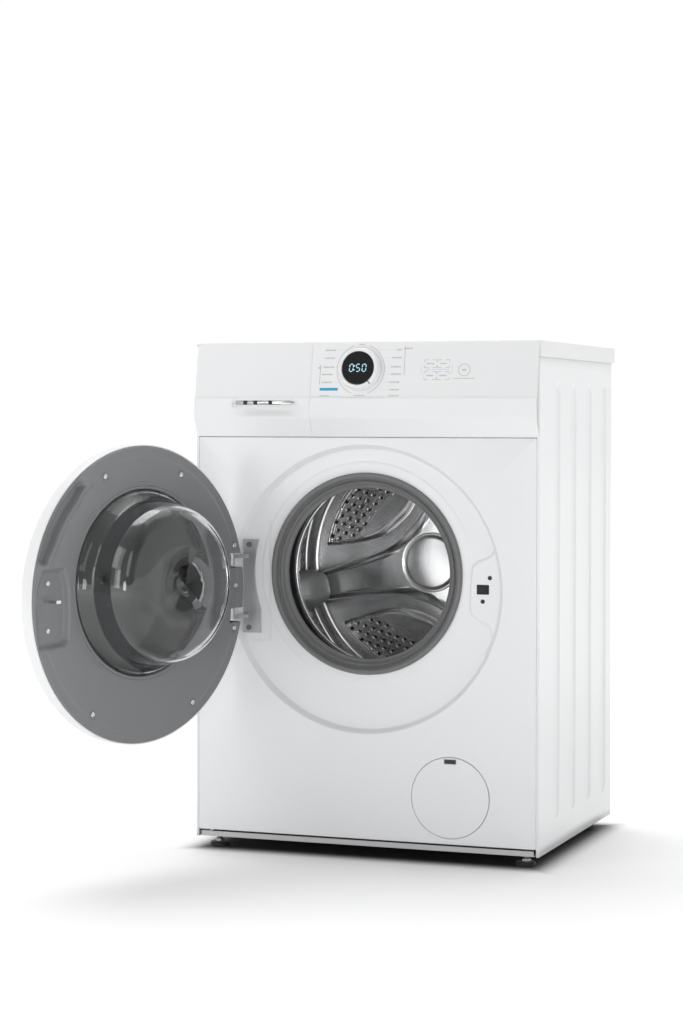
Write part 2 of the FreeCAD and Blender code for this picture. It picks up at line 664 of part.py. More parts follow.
springX, damperX = size("springX"), size("damperX")
springY, damperY = front + size("springFromFront"), front + size("damperFromFront")
tubParts = {"front": [tubFrontShell], "rear": []}
damperLugs, springLugs = {}, {}
for sign in (-1, 1):
    lug, damperTop, _ = lugAt(f"damper_lug_{sign + 1}", sign * damperX, damperY, -1)
    tubParts["front"].append(lug)
    lug, _, springFoot = lugAt(f"spring_lug_{sign + 1}", sign * springX, springY, 1)
    tubParts["rear"].append(lug)
sumpX, sumpY = size("sumpX"), front + size("sumpFromFront")
sumpStub = rod("sump_stub", (sumpX, sumpY, axisZ - tubOut - 8), 18, 24, "Z")
drumRoom = turned("drum_room",
                  [(tubFrontY + tubWall, 0), (tubFrontY + tubWall, tubIn), (split, tubIn), (split, 0)],
                  centreZ=axisZ)
sumpBore = rod("sump_bore", (sumpX, sumpY, axisZ - tubOut - 10), 14, 40, "Z")
node(carved("tub_front_cut", joined("tub_front_all", tubParts["front"] + [sumpStub]), [drumRoom, sumpBore]),
     "tub_front")

bearingR, shaftR = size("bearingOuter"), size("shaftRadius")
hub = bearingR + 19
tubRearShell = newBody("tub_rear_shell")
sketch = sketchOn(tubRearShell, "YZ_Plane")
drawOutline(sketch, [
    (split + 0.2, tubIn), (split + 0.2, flange), (split + 4, flange), (split + 4, tubOut), (tubBackY, tubOut),
    (tubBackY, hub), (tubBackY + 28, hub), (tubBackY + 28, bearingR), (tubBackY - 12, bearingR),
    (tubBackY - 12, hub), (tubBackY - tubWall, hub), (tubBackY - tubWall, tubIn),
])
spin = tubRearShell.newObject("PartDesign::Revolution", "tub_rear_turn")
spin.Profile = sketch
spin.ReferenceAxis = (sketch, ["H_Axis"])
spin.Angle = 360
sketch = sketchOn(tubRearShell, "XZ_Plane", -(tubBackY + 12))
drawOutline(sketch, rectangle((-1.5, hub - 2), (1.5, tubOut - 4)))
patterned(tubRearShell, feature(tubRearShell, "Pad", sketch, 12.5), 12)
place(tubRearShell, (0, 0, axisZ))
heaterX = 30
heaterZ = axisZ - root((drumR + 6) * (drumR + 6) - heaterX * heaterX)
heaterHoles = [rod(f"heater_hole_{i}", (x, tubBackY - 10, heaterZ), 3.4, 20, "Y")
               for i, x in enumerate((-heaterX, heaterX))]
node(carved("tub_rear_cut", joined("tub_rear_all", [tubRearShell] + tubParts["rear"]), heaterHoles),
     "tub_rear")
heaterFront = front + size("drumFront") + 30
heater = [rod(f"heater_leg_{i}", (x, heaterFront, heaterZ), 3, tubBackY + 14 - heaterFront, "Y")
          for i, x in enumerate((-heaterX, heaterX))]
heater.append(rod("heater_bend", (-heaterX, heaterFront, heaterZ), 3, 2 * heaterX, "X"))
node(joined("heater_all", heater), "heater")

weightRing = turned("weight_ring", [
    (tubFrontY - 28, mouth + 10), (tubFrontY - 28, tubOut - 2), (tubFrontY - 0.2, tubOut - 2),
    (tubFrontY - 0.2, mouth + 10),
], centreZ=axisZ)
weightGap = block("weight_gap", (-tubOut - 5, tubFrontY - 40, axisZ - 40),
                  (tubOut + 5, tubFrontY + 5, axisZ + 40))
node(carved("weights", weightRing, [weightGap]), "counterweights")
bearingStarts = [tubBackY - 9, tubBackY + 28 - 2 - size("bearingWidth")]
bearings = [turned(f"bearing_{i}", [
    (start, shaftR + size("runningGap")), (start, bearingR), (start + size("bearingWidth"), bearingR),
    (start + size("bearingWidth"), shaftR + size("runningGap")),
], centreZ=axisZ) for i, start in enumerate(bearingStarts)]
node(joined("bearings", bearings), "drum_bearings")

# Drum -------------------------------------------------------------------------------------------

armTurn = size("armTurn")
drumFrontY, drumBackY = front + size("drumFront"), front + size("drumBack")
skin = size("drumSheet")
node(turned("drum", [
    (drumFrontY - 3, mouthR), (drumFrontY - 3, mouthR + 3), (drumFrontY, mouthR + 3), (drumFrontY, drumR),
    (drumBackY, drumR), (drumBackY, drumR - skin), (drumFrontY + skin, drumR - skin), (drumFrontY + skin,
                                                                                       mouthR),
], centreZ=axisZ), "drum_shell")

backDisc = newBody("back_disc")
sketch = sketchOn(backDisc, "YZ_Plane")
drawOutline(sketch, [(drumBackY - 22, 0), (drumBackY - 22, 36), (drumBackY - 18, 42), (drumBackY - 5, 46),
                     (drumBackY - 5, drumR - skin - 0.1), (drumBackY - 3.8,
                                                           drumR - skin - 0.1), (drumBackY - 3.8, 0)])
spin = backDisc.newObject("PartDesign::Revolution", "back_turn")
spin.Profile = sketch
spin.ReferenceAxis = (sketch, ["H_Axis"])
spin.Angle = 360
sketch = sketchOn(backDisc, "XZ_Plane", -(drumBackY - 4.5))
drawOutline(sketch, [(-26, 20), (26, 20), (34, drumR - 56), (-18, drumR - 56)])
patterned(backDisc, feature(backDisc, "Pad", sketch, 12), 3)
place(backDisc, (0, 0, axisZ), axis=(0, 1, 0), angle=armTurn)
node(backDisc, "drum_back")

spider = newBody("spider")
sketch = sketchOn(spider, "XZ_Plane", -(drumBackY + 11))
drawCircle(sketch, 0, 0, 32)
drawCircle(sketch, 0, 0, shaftR)
feature(spider, "Pad", sketch, 14)
sketch = sketchOn(spider, "XZ_Plane", -(drumBackY + 9))
drawOutline(sketch, [(-14, 28), (14, 28), (9, drumR - 12), (-9, drumR - 12)])
patterned(spider, feature(spider, "Pad", sketch, 8.8), 3)
place(spider, (0, 0, axisZ), axis=(0, 1, 0), angle=armTurn)
node(spider, "drum_spider")

pulleyY = front + size("pulleyPlane")
pulleyW = size("pulleyWidth")
node(turned("shaft", [(drumBackY - 2.9, 0), (drumBackY - 2.9, shaftR), (pulleyY + pulleyW + 2, shaftR),
                      (pulleyY + pulleyW + 2, 0)], centreZ=axisZ), "drum_shaft")

lifterFoot = drumR - skin
lifters = []
for i in range(3):
    lifter = newBody(f"lifter_{i}")
    sketch = sketchOn(lifter, "XZ_Plane", -(drumBackY - 12))
    drawOutline(sketch,
                [(-24, lifterFoot - 2), (24, lifterFoot - 2), (10, lifterFoot - 48), (-10, lifterFoot - 48)])
    feature(lifter, "Pad", sketch, drumBackY - drumFrontY - 28)
    place(lifter, (0, 0, axisZ), axis=(0, 1, 0), angle=armTurn - 120 * i)
    lifters.append(lifter)
node(joined("lifters", lifters), "drum_lifters")

pulley = newBody("pulley")
pulleyR = size("pulleyRadius")
sketch = sketchOn(pulley, "YZ_Plane")
drawOutline(sketch, [
    (pulleyY - 3.5, shaftR), (pulleyY - 3.5, 28), (pulleyY + 4, 28), (pulleyY + 4, pulleyR - 10),
    (pulleyY - 2, pulleyR - 10), (pulleyY - 2, pulleyR), (pulleyY + pulleyW + 2, pulleyR),
    (pulleyY + pulleyW + 2, pulleyR - 10), (pulleyY + 8, pulleyR - 10), (pulleyY + 8, 28),
    (pulleyY + pulleyW + 2, 28), (pulleyY + pulleyW + 2, shaftR),
])
spin = pulley.newObject("PartDesign::Revolution", "pulley_turn")
spin.Profile = sketch
spin.ReferenceAxis = (sketch, ["H_Axis"])
spin.Angle = 360
sketch = sketchOn(pulley, "XZ_Plane", -(pulleyY - 10))
drawCircle(sketch, 0, pulleyR * 0.56, pulleyR * 0.2)
patterned(pulley, feature(pulley, "Pocket", sketch, 30), 6)
place(pulley, (0, 0, axisZ))
node(pulley, "drum_pulley")
node(hexagon("bolt", (0, pulleyY + pulleyW + 2, axisZ), 11, 7), "pulley_bolt")


# Motor, belt, springs and dampers ---------------------------------------------------------------

motorX, motorZ, motorR = size("motorX"), size("motorHeight"), size("motorRadius")
motorBack = pulleyY - 8
motorFront = motorBack - 130
casing = turned("casing", [
    (motorFront, 6.05), (motorFront, motorR), (motorBack, motorR), (motorBack, 6.05), (motorBack - 8, 6.05),
    (motorBack - 8, motorR - 9), (motorFront + 8, motorR - 9), (motorFront + 8, 6.05),
], centreX=motorX, centreZ=motorZ)
hangerTop = axisZ - tubOut - 0.5
hanger = block("hanger", (motorX - 16, motorFront + 20, motorZ + motorR - 8),
               (motorX + 16, tubBackY - 5, hangerTop))
node(joined("motor_all", [casing, hanger]), "motor_housing")
node(turned("rotor", [
    (motorFront - 4, 0), (motorFront - 4, 6), (motorFront + 10, 6), (motorFront + 10, motorR - 10),
    (motorBack - 10, motorR - 10), (motorBack - 10, 6), (pulleyY - 2, 6), (pulleyY - 2,
                                                                           size("motorPulleyRadius")),
    (pulleyY + pulleyW + 2, size("motorPulleyRadius")), (pulleyY + pulleyW + 2, 0),
], centreX=motorX, centreZ=motorZ), "motor_rotor")


def beltLoop(big, small, start, length):
    """The flat loop round two pulleys: two arcs and the two lines that touch both."""
    centreA = Vector(0, start, size("portholeHeight").value)
    centreB = Vector(motorX.value, start, motorZ.value)
    span = centreB - centreA
    tilt = math.acos((big - small) / span.Length)
    along = math.atan2(span.z, span.x)

    def onCircle(centre, radius, angle):
        return centre + Vector(radius * math.cos(angle), 0, radius * math.sin(angle))

    startA, endA = onCircle(centreA, big, along - tilt), onCircle(centreA, big, along + tilt)
    startB, endB = onCircle(centreB, small, along - tilt), onCircle(centreB, small, along + tilt)
    wire = Part.Wire([
        Part.Arc(endA, onCircle(centreA, big, along + math.pi), startA).toShape(),
        Part.LineSegment(startA, startB).toShape(),
        Part.Arc(startB, onCircle(centreB, small, along), endB).toShape(),
        Part.LineSegment(endB, endA).toShape(),
    ])
    return Part.Face(wire).extrude(Vector(0, length, 0))


beltIn = size("beltGap").value
beltOut = beltIn + size("beltThickness").value
belt = doc.addObject("Part::Feature", "belt")
belt.Shape = beltLoop(pulleyR.value + beltOut, size("motorPulleyRadius").value + beltOut, pulleyY.value,
                      pulleyW.value).cut(
    beltLoop(pulleyR.value + beltIn, size("motorPulleyRadius").value + beltIn, pulleyY.value - 1,
             pulleyW.value + 2))
node(belt, "drive_belt")

springTop = panelTop - 17
node(joined("springs", [rod(f"spring_{sign + 1}", (sign * springX, springY, springFoot), size("springRadius"),
                            springTop - springFoot, "Z")
                        for sign in (-1, 1)]), "suspension_springs")
damperFoot = basePlane
rodR = size("damperRodRadius")
cylinders, rods = [], []
for sign in (-1, 1):
    x = sign * damperX
    tube = rod(f"damper_{sign + 1}", (x, damperY, damperFoot), size("damperRadius"), 110, "Z")
    tubeBore = rod(f"damper_bore_{sign + 1}", (x, damperY, damperFoot + 25), rodR + 0.5, 100, "Z")
    cylinders.append(carved(f"damper_cut_{sign + 1}", tube, [tubeBore]))
    rods.append(rod(f"damper_rod_{sign + 1}", (x, damperY, damperFoot + 45), rodR,
                    damperTop - damperFoot - 45, "Z"))
node(joined("damper_cylinders_all", cylinders), "damper_cylinders")
node(joined("damper_rods_all", rods), "damper_rods")


# Pump, filter, sump hose and service flap -------------------------------------------------------

filterR = size("filterRadius")
pumpY = front + 22
filterEnd = pumpY + size("filterLength")
pumpZ = flapZ - 6
pumpBody = turned("pump_body", [
    (pumpY, filterR + 0.6), (pumpY, filterR + 5), (filterEnd + 14, filterR + 5), (filterEnd + 14, 42),
    (filterEnd + 46, 42), (filterEnd + 46, 24), (filterEnd + 86, 24), (filterEnd + 86, 0), (filterEnd + 42,
    0),
    (filterEnd + 42, 38), (filterEnd + 18, 38), (filterEnd + 18, filterR + 0.6),
], centreX=flapX, centreZ=pumpZ)
pumpInlet = rod("pump_inlet", (flapX - 61.5, sumpY, pumpZ), 16, 32, "X")
pumpInletBore = rod("pump_inlet_bore", (flapX - 64, sumpY, pumpZ), 12.5, 44, "X")
pumpFoot = block("pump_foot", (flapX - 30, filterEnd - 6, basePlane),
                 (flapX + 30, filterEnd + 10, pumpZ - filterR - 2))
node(carved("pump_cut", joined("pump_all", [pumpBody, pumpInlet, pumpFoot]), [
    pumpInletBore, rod("filter_room", (flapX, pumpY - 1, pumpZ), filterR + 0.6, filterEnd + 20 - pumpY, "Y"),
]), "pump_housing")
filterBody = turned("filter_body", [
    (pumpY - 9, 0), (pumpY - 9, filterR + 3), (pumpY - 1, filterR + 3), (pumpY - 1, filterR), (filterEnd,
    filterR),
    (filterEnd, filterR - 3), (pumpY + 5, filterR - 3), (pumpY + 5, 0),
], centreX=flapX, centreZ=pumpZ)
filterGrip = block("filter_grip", (flapX - 24, pumpY - 16, pumpZ - 3), (flapX + 24, pumpY - 8.5, pumpZ + 3))
filterSlots = [block(f"filter_slot_{i}", (flapX - 40, pumpY + 14 + 14 * i, pumpZ - 14),
                     (flapX + 40, pumpY + 22 + 14 * i, pumpZ + 14))
               for i in range(3)]
node(carved("filter_cut", joined("filter_all", [filterBody, filterGrip]), filterSlots), "pump_filter")
impeller = newBody("impeller")
sketch = sketchOn(impeller, "XZ_Plane", -(filterEnd + 40))
drawCircle(sketch, 0, 0, 9)
feature(impeller, "Pad", sketch, 18)
sketch = sketchOn(impeller, "XZ_Plane", -(filterEnd + 38))
drawOutline(sketch, rectangle((-1.5, 6), (1.5, 33)))
patterned(impeller, feature(impeller, "Pad", sketch, 14), 4)
place(impeller, (flapX, 0, pumpZ))
node(impeller, "pump_impeller")

hoseTop = axisZ - tubOut - 4
hoseR = 16
bend = doc.addObject("Part::Torus", "hose_bend")
bend.Radius1 = 26
bend.Radius2 = hoseR
bend.Angle3 = 90
hoseY = sumpY
bendTurn = Rotation(Vector(1, 0, 0), 90) * Rotation(Vector(0, 0, 1), 180)
place(bend, (sumpX + 26, hoseY, pumpZ + 26))
bend.Placement = Placement(bend.Placement.Base, bendTurn)
drop = rod("hose_drop", (sumpX, hoseY, pumpZ + 26), hoseR, hoseTop - 6 - pumpZ - 26, "Z")
node(joined("hose_all", [drop, bend]), "sump_hose")

flapDisc = newBody("flap_disc")
sketch = sketchOn(flapDisc, "XZ_Plane", -(front + size("flapThickness")))
drawCircle(sketch, 0, 0, size("flapRadius"))
feature(flapDisc, "Pad", sketch, size("flapThickness"))
sketch = sketchOn(flapDisc, "XZ_Plane", -front)
drawOutline(sketch, rectangle((-11, size("flapRadius") - 9.5), (11, size("flapRadius") - 2)))
feature(flapDisc, "Pocket", sketch, size("flapThickness"))
place(flapDisc, (flapX, 0, flapZ))
node(flapDisc, "service_flap")


# Door lock behind the panel ---------------------------------------------------------------------

lockFace = recessFloor + steel + 0.2
lockBox = block("lock_box", (latchX - 20, lockFace, recessZ - 34), (latchX + 34, lockFace + 30, recessZ + 34))
lockRoom = block("lock_room", (latchX - 15, lockFace - 1, recessZ - 9),
                 (latchX + 12, lockFace + 24, recessZ + 9))
node(carved("lock", lockBox, [lockRoom]), "door_lock")


# Hinge bracket on the panel and its pins ----------------------------------------------------------

reach, proud, spread = size("doorReach"), size("hingeProud"), size("hingeSpread")
hingeX, hingeY = -reach, front - proud
pinR = size("hingePinRadius")
plateFront = recessFloor - 3
bracketPlate = block("bracket_plate", (hingeX + 9, plateFront, recessZ - 78),
                     (hingeX + 41, recessFloor, recessZ + 78))
bracketScoop = rod("bracket_scoop", (0, plateFront - 1, axisZ), port + 37, 6, "Y")
bracketParts = [carved("bracket_cut", bracketPlate, [bracketScoop])]
for sign in (-1, 1):
    middle = recessZ + sign * (spread - 3)
    lug = newBody(f"lug_{sign + 1}")
    sketch = sketchOn(lug, "XY_Plane", middle - 3)
    drawOutline(sketch, [(hingeX - 5, hingeY), (hingeX + 5, hingeY - 2), (hingeX + 19, plateFront + 0.5),
                         (hingeX + 9, plateFront + 0.5)])
    feature(lug, "Pad", sketch, 6)
    knuckle = rod(f"knuckle_{sign + 1}", (hingeX, hingeY, middle - 3), pinR + 3, 6, "Z")
    bracketParts += [lug, knuckle]
node(carved("bracket", joined("bracket_all", bracketParts), [
    rod("pin_bores", (hingeX, hingeY, recessZ - 90), pinR, 180, "Z")]), "hinge_bracket")
pinSpans = [(recessZ - spread - 1, 22), (recessZ + spread - 21, 22)]
node(joined("pins", [rod(f"pin_{i}", (hingeX, hingeY, low), pinR, length, "Z")
                     for i, (low, length) in enumerate(pinSpans)]), "hinge_pins")


# Door, modelled with its hinge axis on the origin and closed, then swung open -----------------------

def inDoor(piece):
    place(piece, (hingeX, hingeY, recessZ), axis=(0, 0, -1), angle=size("doorOpenAngle"))
    return piece


faceY = proud + size("doorFaceDepth")
doorR = size("doorRadius")
skinT = size("doorSkin")
frameBack = faceY - 18
glassZ = size("glassRise")


def doorTurned(name, profile, z=0):
    """A ring about the door's own centre line, in door coordinates; points are (y, radius)."""
    body = newBody(name)
    sketch = sketchOn(body, "YZ_Plane", reach)
    drawOutline(sketch, [(y, z + radius) for y, radius in profile])
    axis = sketch.addGeometry(Part.LineSegment(Vector(-60, asSize(z).value, 0),
                                               Vector(120, asSize(z).value, 0)), True)
    sketch.addConstraint(Sketcher.Constraint("Horizontal", axis))
    fix(sketch, "DistanceY", axis, 1, z)
    fix(sketch, "DistanceX", axis, 1, -60)
    fix(sketch, "DistanceX", axis, 2, 120)
    spin = body.newObject("PartDesign::Revolution", f"{name}_turn")
    spin.Profile = sketch
    spin.ReferenceAxis = (sketch, ["Axis0"])
    spin.Angle = 360
    return body


def hingeSlots(name):
    """Room for the bracket's lugs and the arm's knuckles, above and below the door's middle."""
    return [block(f"{name}_{i}", (-20, -7, low), (28, faceY + 2, low + 24))
            for i, low in enumerate((-spread - 4, spread - 20))]



latchLocal = latchX + reach
frameDish = doorTurned("frame_dish", [
    (faceY, doorR - 106), (faceY, doorR), (frameBack, doorR), (frameBack, doorR - skinT),
    (faceY - skinT, doorR - skinT), (faceY - skinT, doorR - 106),
])
gripBoss = rod("grip_boss", (reach, frameBack + 2, 0), doorR - 1, faceY - skinT - frameBack - 2 + 0.5, "Y",
               41, -56)
gripBossIn = rod("grip_boss_in", (reach, frameBack, 0), doorR - 27, 40, "Y")
grip = rod("grip_pocket", (reach, faceY - 13, 0), doorR + 0.4, 20, "Y", 37, -54)
gripIn = rod("grip_pocket_in", (reach, frameBack - 5, 0), doorR - 24, 40, "Y")
pocketTop, pocketFoot = doorR * 0.2076, doorR * -0.2924
hookBoss = block("hook_boss", (latchLocal - 45, faceY - 13, pocketFoot - 5),
                 (latchLocal + 16, faceY - 2.5, pocketTop + 5))
hookBearing = block("hook_bearing", (latchLocal - 6, faceY - 23, -14), (latchLocal + 6, faceY - 12.5, 14))
hookPocket = block("hook_pocket", (latchLocal - 42, faceY - 10, pocketFoot),
                   (latchLocal + 13, faceY + 1, pocketTop))
hookSlot = block("hook_slot", (latchLocal - 14, faceY - 25, -2.8), (latchLocal + 8, faceY, 2.8))
hookY = faceY - 18
hookBore = rod("hook_bore", (latchLocal, hookY, -20), 2.05, 40, "Z")
frameSolid = joined("frame_solid",
                    [frameDish, carved("grip_walls", gripBoss, [gripBossIn]), hookBoss, hookBearing])
glassHole = rod("glass_hole", (reach, frameBack, glassZ), size("glassRadius") + 0.4, 30, "Y")
node(inDoor(carved("door_frame_cut", frameSolid,
                   [glassHole, carved("grip_room", grip, [gripIn]), hookPocket, hookSlot,
                    hookBore] + hingeSlots("frame_slot"))),
     "door_frame")

rimR = doorR + size("shellRim") + skinT
shellFront = faceY - 4
shellBack = -(size("doorThickness") - proud)
outerShell = doorTurned("outer_shell", [
    (shellFront, rimR), (proud - 20, rimR), (shellBack + 7, rimR - 7), (shellBack + 1,
                                                                        rimR - 21), (shellBack, rimR - 40),
    (shellBack, doorR - 116), (shellBack + skinT, doorR - 116), (shellBack + skinT,
                                                                 rimR - 41), (shellBack + 4, rimR - 22.5),
    (shellBack + 9.4, rimR - 9.6), (proud - 19, rimR - skinT), (shellFront, rimR - skinT),
])
windowR = size("glassRadius") + 2
windowHole = rod("window_hole", (reach, shellBack - 5, glassZ), windowR, 20, "Y")
node(inDoor(carved("door_shell_cut", outerShell, [windowHole] + hingeSlots("shell_slot"))),
     "door_outer_shell")
node(inDoor(doorTurned("window", [
    (shellBack + skinT + 0.1, 0), (shellBack + skinT + 0.1, windowR + 8), (shellBack + skinT + 3,
                                                                           windowR + 8),
    (shellBack + skinT + 3, 0)], glassZ)), "door_window")

glassR, glassT, glassEnd = size("glassRadius"), size("glassWall"), faceY + size("glassDepth")
bowlR = size("sealLipRadius") - 9
glassProfile = [
    (faceY - 7, glassR + 8), (faceY - 3.3, glassR + 8), (faceY - 3.3, glassR), (faceY + 2, glassR - 0.6),
    (faceY + 10, bowlR + 7), (faceY + 20, bowlR), (glassEnd - 33, bowlR - 5), (glassEnd - 17, bowlR - 10),
    (glassEnd - 8, bowlR - 20), (glassEnd - 2, bowlR - 55), (glassEnd, 0), (glassEnd - glassT, 0),
    (glassEnd - 2 - glassT, bowlR - 56), (glassEnd - 12, bowlR - 23), (glassEnd - 20, bowlR - 14),
    (glassEnd - 34, bowlR - 9), (faceY + 19, bowlR - 4), (faceY + 8, bowlR + 3), (faceY - 1, glassR - 6),
    (faceY - 7, glassR - 4),
]
node(inDoor(doorTurned("glass", glassProfile, glassZ)), "door_glass")

armPlate = block("arm_plate", (12.5, faceY - 16, -74), (36, faceY - 13, 74))
armParts = [armPlate]
for i, (low, length) in enumerate(((-spread + 6.3, 11), (spread - 17.3, 11))):
    armParts.append(rod(f"arm_knuckle_{i}", (0, 0, low), pinR + 3, length, "Z"))
    armParts.append(block(f"arm_web_{i}", (0, -3, low), (12, 3, low + length)))
    armParts.append(block(f"arm_step_{i}", (10, -3, low), (13.5, faceY - 14, low + length)))
node(inDoor(carved("arm", joined("arm_all", armParts), [
    rod("arm_bore", (0, 0, -90), pinR + size("runningGap"), 180, "Z")])), "hinge_arm")

hook = newBody("hook")
sketch = sketchOn(hook, "XY_Plane", -2.4)
drawOutline(sketch, [
    (latchLocal - 4, hookY - 4), (latchLocal + 4, hookY - 4), (latchLocal + 4, faceY + 20),
    (latchLocal - 5, faceY + 20), (latchLocal - 8, faceY + 15), (latchLocal - 2, faceY + 15),
    (latchLocal - 2, hookY + 6),
])
feature(hook, "Pad", sketch, 4.8)
hookPin = rod("hook_pin", (latchLocal, hookY, -13), 2, 26, "Z")
node(inDoor(joined("hook_all", [hook, hookPin])), "door_hook")

screwHead, screwR = size("screwHeadRadius"), size("screwRadius")
doorScrewSpots = [(reach + x * doorR, z * doorR)
                  for x, z in ((0.36, 0.801), (-0.36, 0.801), (0.475, -0.767), (-0.475, -0.767))]
doorScrewSpots += [(16, 70), (12, 4), (16, -66)]
doorScrews = []
for i, (x, z) in enumerate(doorScrewSpots):
    doorScrews.append(rod(f"door_screw_head_{i}", (x, faceY + 0.05, z), screwHead, 1.8, "Y"))
for i, z in enumerate((27, -46)):
    doorScrews.append(rod(f"hook_screw_head_{i}", (latchLocal - 5, faceY - 9.95, z), screwHead, 1.8, "Y"))
node(inDoor(joined("door_screw_group", doorScrews)), "door_screws")

panelScrews = [rod(f"hinge_screw_{i}", (hingeX + 20, plateFront - 1.9, recessZ + sign * 69.5), screwHead,
                   1.8, "Y")
               for i, sign in enumerate((-1, 1))]
panelScrews += [rod(f"latch_screw_{i}", (latchX + dx, recessFloor - 0.8, recessZ + dz), 3.6, 0.7, "Y")
                for i, (dx, dz) in enumerate(((10, 21), (-2, -19)))]
for i in range(4):
    angle = math.radians(45 + 90 * i)
    spotX = (size("accessRadius") + 6) * math.cos(angle)
    spotZ = (size("accessRadius") + 6) * math.sin(angle)
    panelScrews.append(rod(f"cover_screw_{i}", (spotX, coverFoot + 1.25, axisZ + spotZ), screwHead, 2, "Y"))
node(joined("panel_screw_group", panelScrews), "panel_screws")


# Recompute, check every object, write the parts ---------------------------------------------------

doc.recompute()
faults = [f"{item.Name}: {item.State}" for item in doc.Objects if {"Invalid", "Error"} & set(item.State)]
for piece in nodes:
    if piece.Shape.isNull() or not piece.Shape.isValid():
        faults.append(f"{piece.Label}: bad shape")
if faults:
    raise RuntimeError("; ".join(faults))
for piece in nodes:
    piece.Shape.exportStep(f"parts/{piece.Label}.step")
    print(f"{piece.Label}: {len(piece.Shape.Solids)} solid(s), {piece.Shape.Volume / 1000:.1f} cm3")
print(len(nodes), "nodes")
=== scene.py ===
import json
import math

import bmesh
import bpy
import numpy as np
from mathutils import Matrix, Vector


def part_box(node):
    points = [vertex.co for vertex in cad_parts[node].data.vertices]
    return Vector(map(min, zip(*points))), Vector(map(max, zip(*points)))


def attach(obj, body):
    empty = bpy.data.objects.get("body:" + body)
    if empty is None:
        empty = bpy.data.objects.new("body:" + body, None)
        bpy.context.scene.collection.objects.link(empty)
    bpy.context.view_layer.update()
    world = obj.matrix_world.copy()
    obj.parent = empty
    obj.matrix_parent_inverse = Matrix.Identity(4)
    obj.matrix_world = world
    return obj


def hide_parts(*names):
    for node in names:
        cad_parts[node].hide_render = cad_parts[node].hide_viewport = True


# A front loading washing machine with its door standing open. Lengths inside the functions are in
# millimetres in the frame of the design; meshes are stored in metres.

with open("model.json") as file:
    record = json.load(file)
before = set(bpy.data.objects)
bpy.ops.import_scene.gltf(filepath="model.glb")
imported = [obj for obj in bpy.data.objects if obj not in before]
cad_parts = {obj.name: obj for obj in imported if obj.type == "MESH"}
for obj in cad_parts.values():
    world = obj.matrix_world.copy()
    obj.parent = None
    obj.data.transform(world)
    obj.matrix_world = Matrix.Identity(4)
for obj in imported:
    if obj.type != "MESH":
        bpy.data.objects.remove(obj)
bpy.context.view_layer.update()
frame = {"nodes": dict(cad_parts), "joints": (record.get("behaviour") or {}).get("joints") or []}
mm = 0.001
print("frame loaded:", len(frame["nodes"]), "nodes")


def boxOf(node):
    low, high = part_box(node)
    return np.array(low) / mm, np.array(high) / mm


def jointPlace(name):
    return next(np.array(j["pos_m"]) / mm for j in frame["joints"] if j["name"] == name)


panelLow, panelHigh = boxOf("front_panel")
leftLow, leftHigh = boxOf("side_panel_left")
rightLow, rightHigh = boxOf("side_panel_right")
topLow, topHigh = boxOf("worktop")
front = panelLow[1]
back = rightHigh[1]
halfWidth = rightHigh[0]
axisZ = jointPlace("drum_spin")[2]
hinge = jointPlace("door_swing")
recessZ = hinge[2]


def ramp(value, low, high):
    # smooth step: t = clip((v - low) / (high - low), 0, 1), result t*t*(3 - 2t)
    t = np.clip((value - low) / (high - low), 0, 1)
    return t * t * (3 - 2 * t)


def circle(steps):
    return np.linspace(0, 2 * np.pi, steps, endpoint=False)


def softened(points, radius, closed=True, steps=5):
    # each corner P becomes Q(t) = (1-t)^2 (P + d a) + 2t(1-t) P + t^2 (P + d b), with one holding point
    # before and after it, so that the shading of the flats stays flat
    p = np.array(points, float)
    before, after = np.roll(p, 1, 0) - p, np.roll(p, -1, 0) - p
    lengthA = np.linalg.norm(before, axis=1, keepdims=True)
    lengthB = np.linalg.norm(after, axis=1, keepdims=True)
    d = np.minimum(np.broadcast_to(np.reshape(radius, (-1, 1)), lengthA.shape),
                   0.42 * np.minimum(lengthA, lengthB))
    a, b = before / lengthA, after / lengthB
    t = np.linspace(0, 1, steps)[None, :, None]
    curve = ((1 - t) ** 2 * (p + d * a)[:, None] + 2 * t * (1 - t) * p[:, None]
             + t ** 2 * (p + d * b)[:, None])
    hold = 1.12
    rows = np.concatenate([(p + hold * d * a)[:, None], curve, (p + hold * d * b)[:, None]], 1)
    if not closed:
        rows[0], rows[-1] = p[0], p[-1]
    rows = rows.reshape(-1, p.shape[1])
    fresh = np.ones(len(rows), bool)
    fresh[1:] = np.linalg.norm(np.diff(rows, axis=0), axis=1) > 1e-6
    return rows[fresh]


def resampled(points, step):
    # points along an open polyline at even distances: cumulative length and linear interpolation
    p = np.array(points, float)
    reach = np.concatenate([[0], np.cumsum(np.linalg.norm(np.diff(p, axis=0), axis=1))])
    at = np.linspace(0, reach[-1], max(4, int(round(reach[-1] / step))))
    return np.stack([np.interp(at, reach, p[:, k]) for k in range(p.shape[1])], -1)


def headings(path):
    # unit direction of travel at each point of a path
    along = np.gradient(path, axis=0)
    return along / np.linalg.norm(along, axis=1, keepdims=True)


def gridFaces(rows, columns, closeRows, closeColumns):
    i = np.arange(rows if closeRows else rows - 1)[:, None]
    j = np.arange(columns if closeColumns else columns - 1)[None, :]
    a = i * columns + j
    b = ((i + 1) % rows) * columns + j
    c = ((i + 1) % rows) * columns + (j + 1) % columns
    d = i * columns + (j + 1) % columns
    return np.stack([a, b, c, d], -1).reshape(-1, 4)


def thickened(piece, wall):
    # gives a sheet its wall, on the inner side
    thicken = piece.modifiers.new("wall", "SOLIDIFY")
    thicken.thickness, thicken.offset = wall * mm, -1
    return thicken


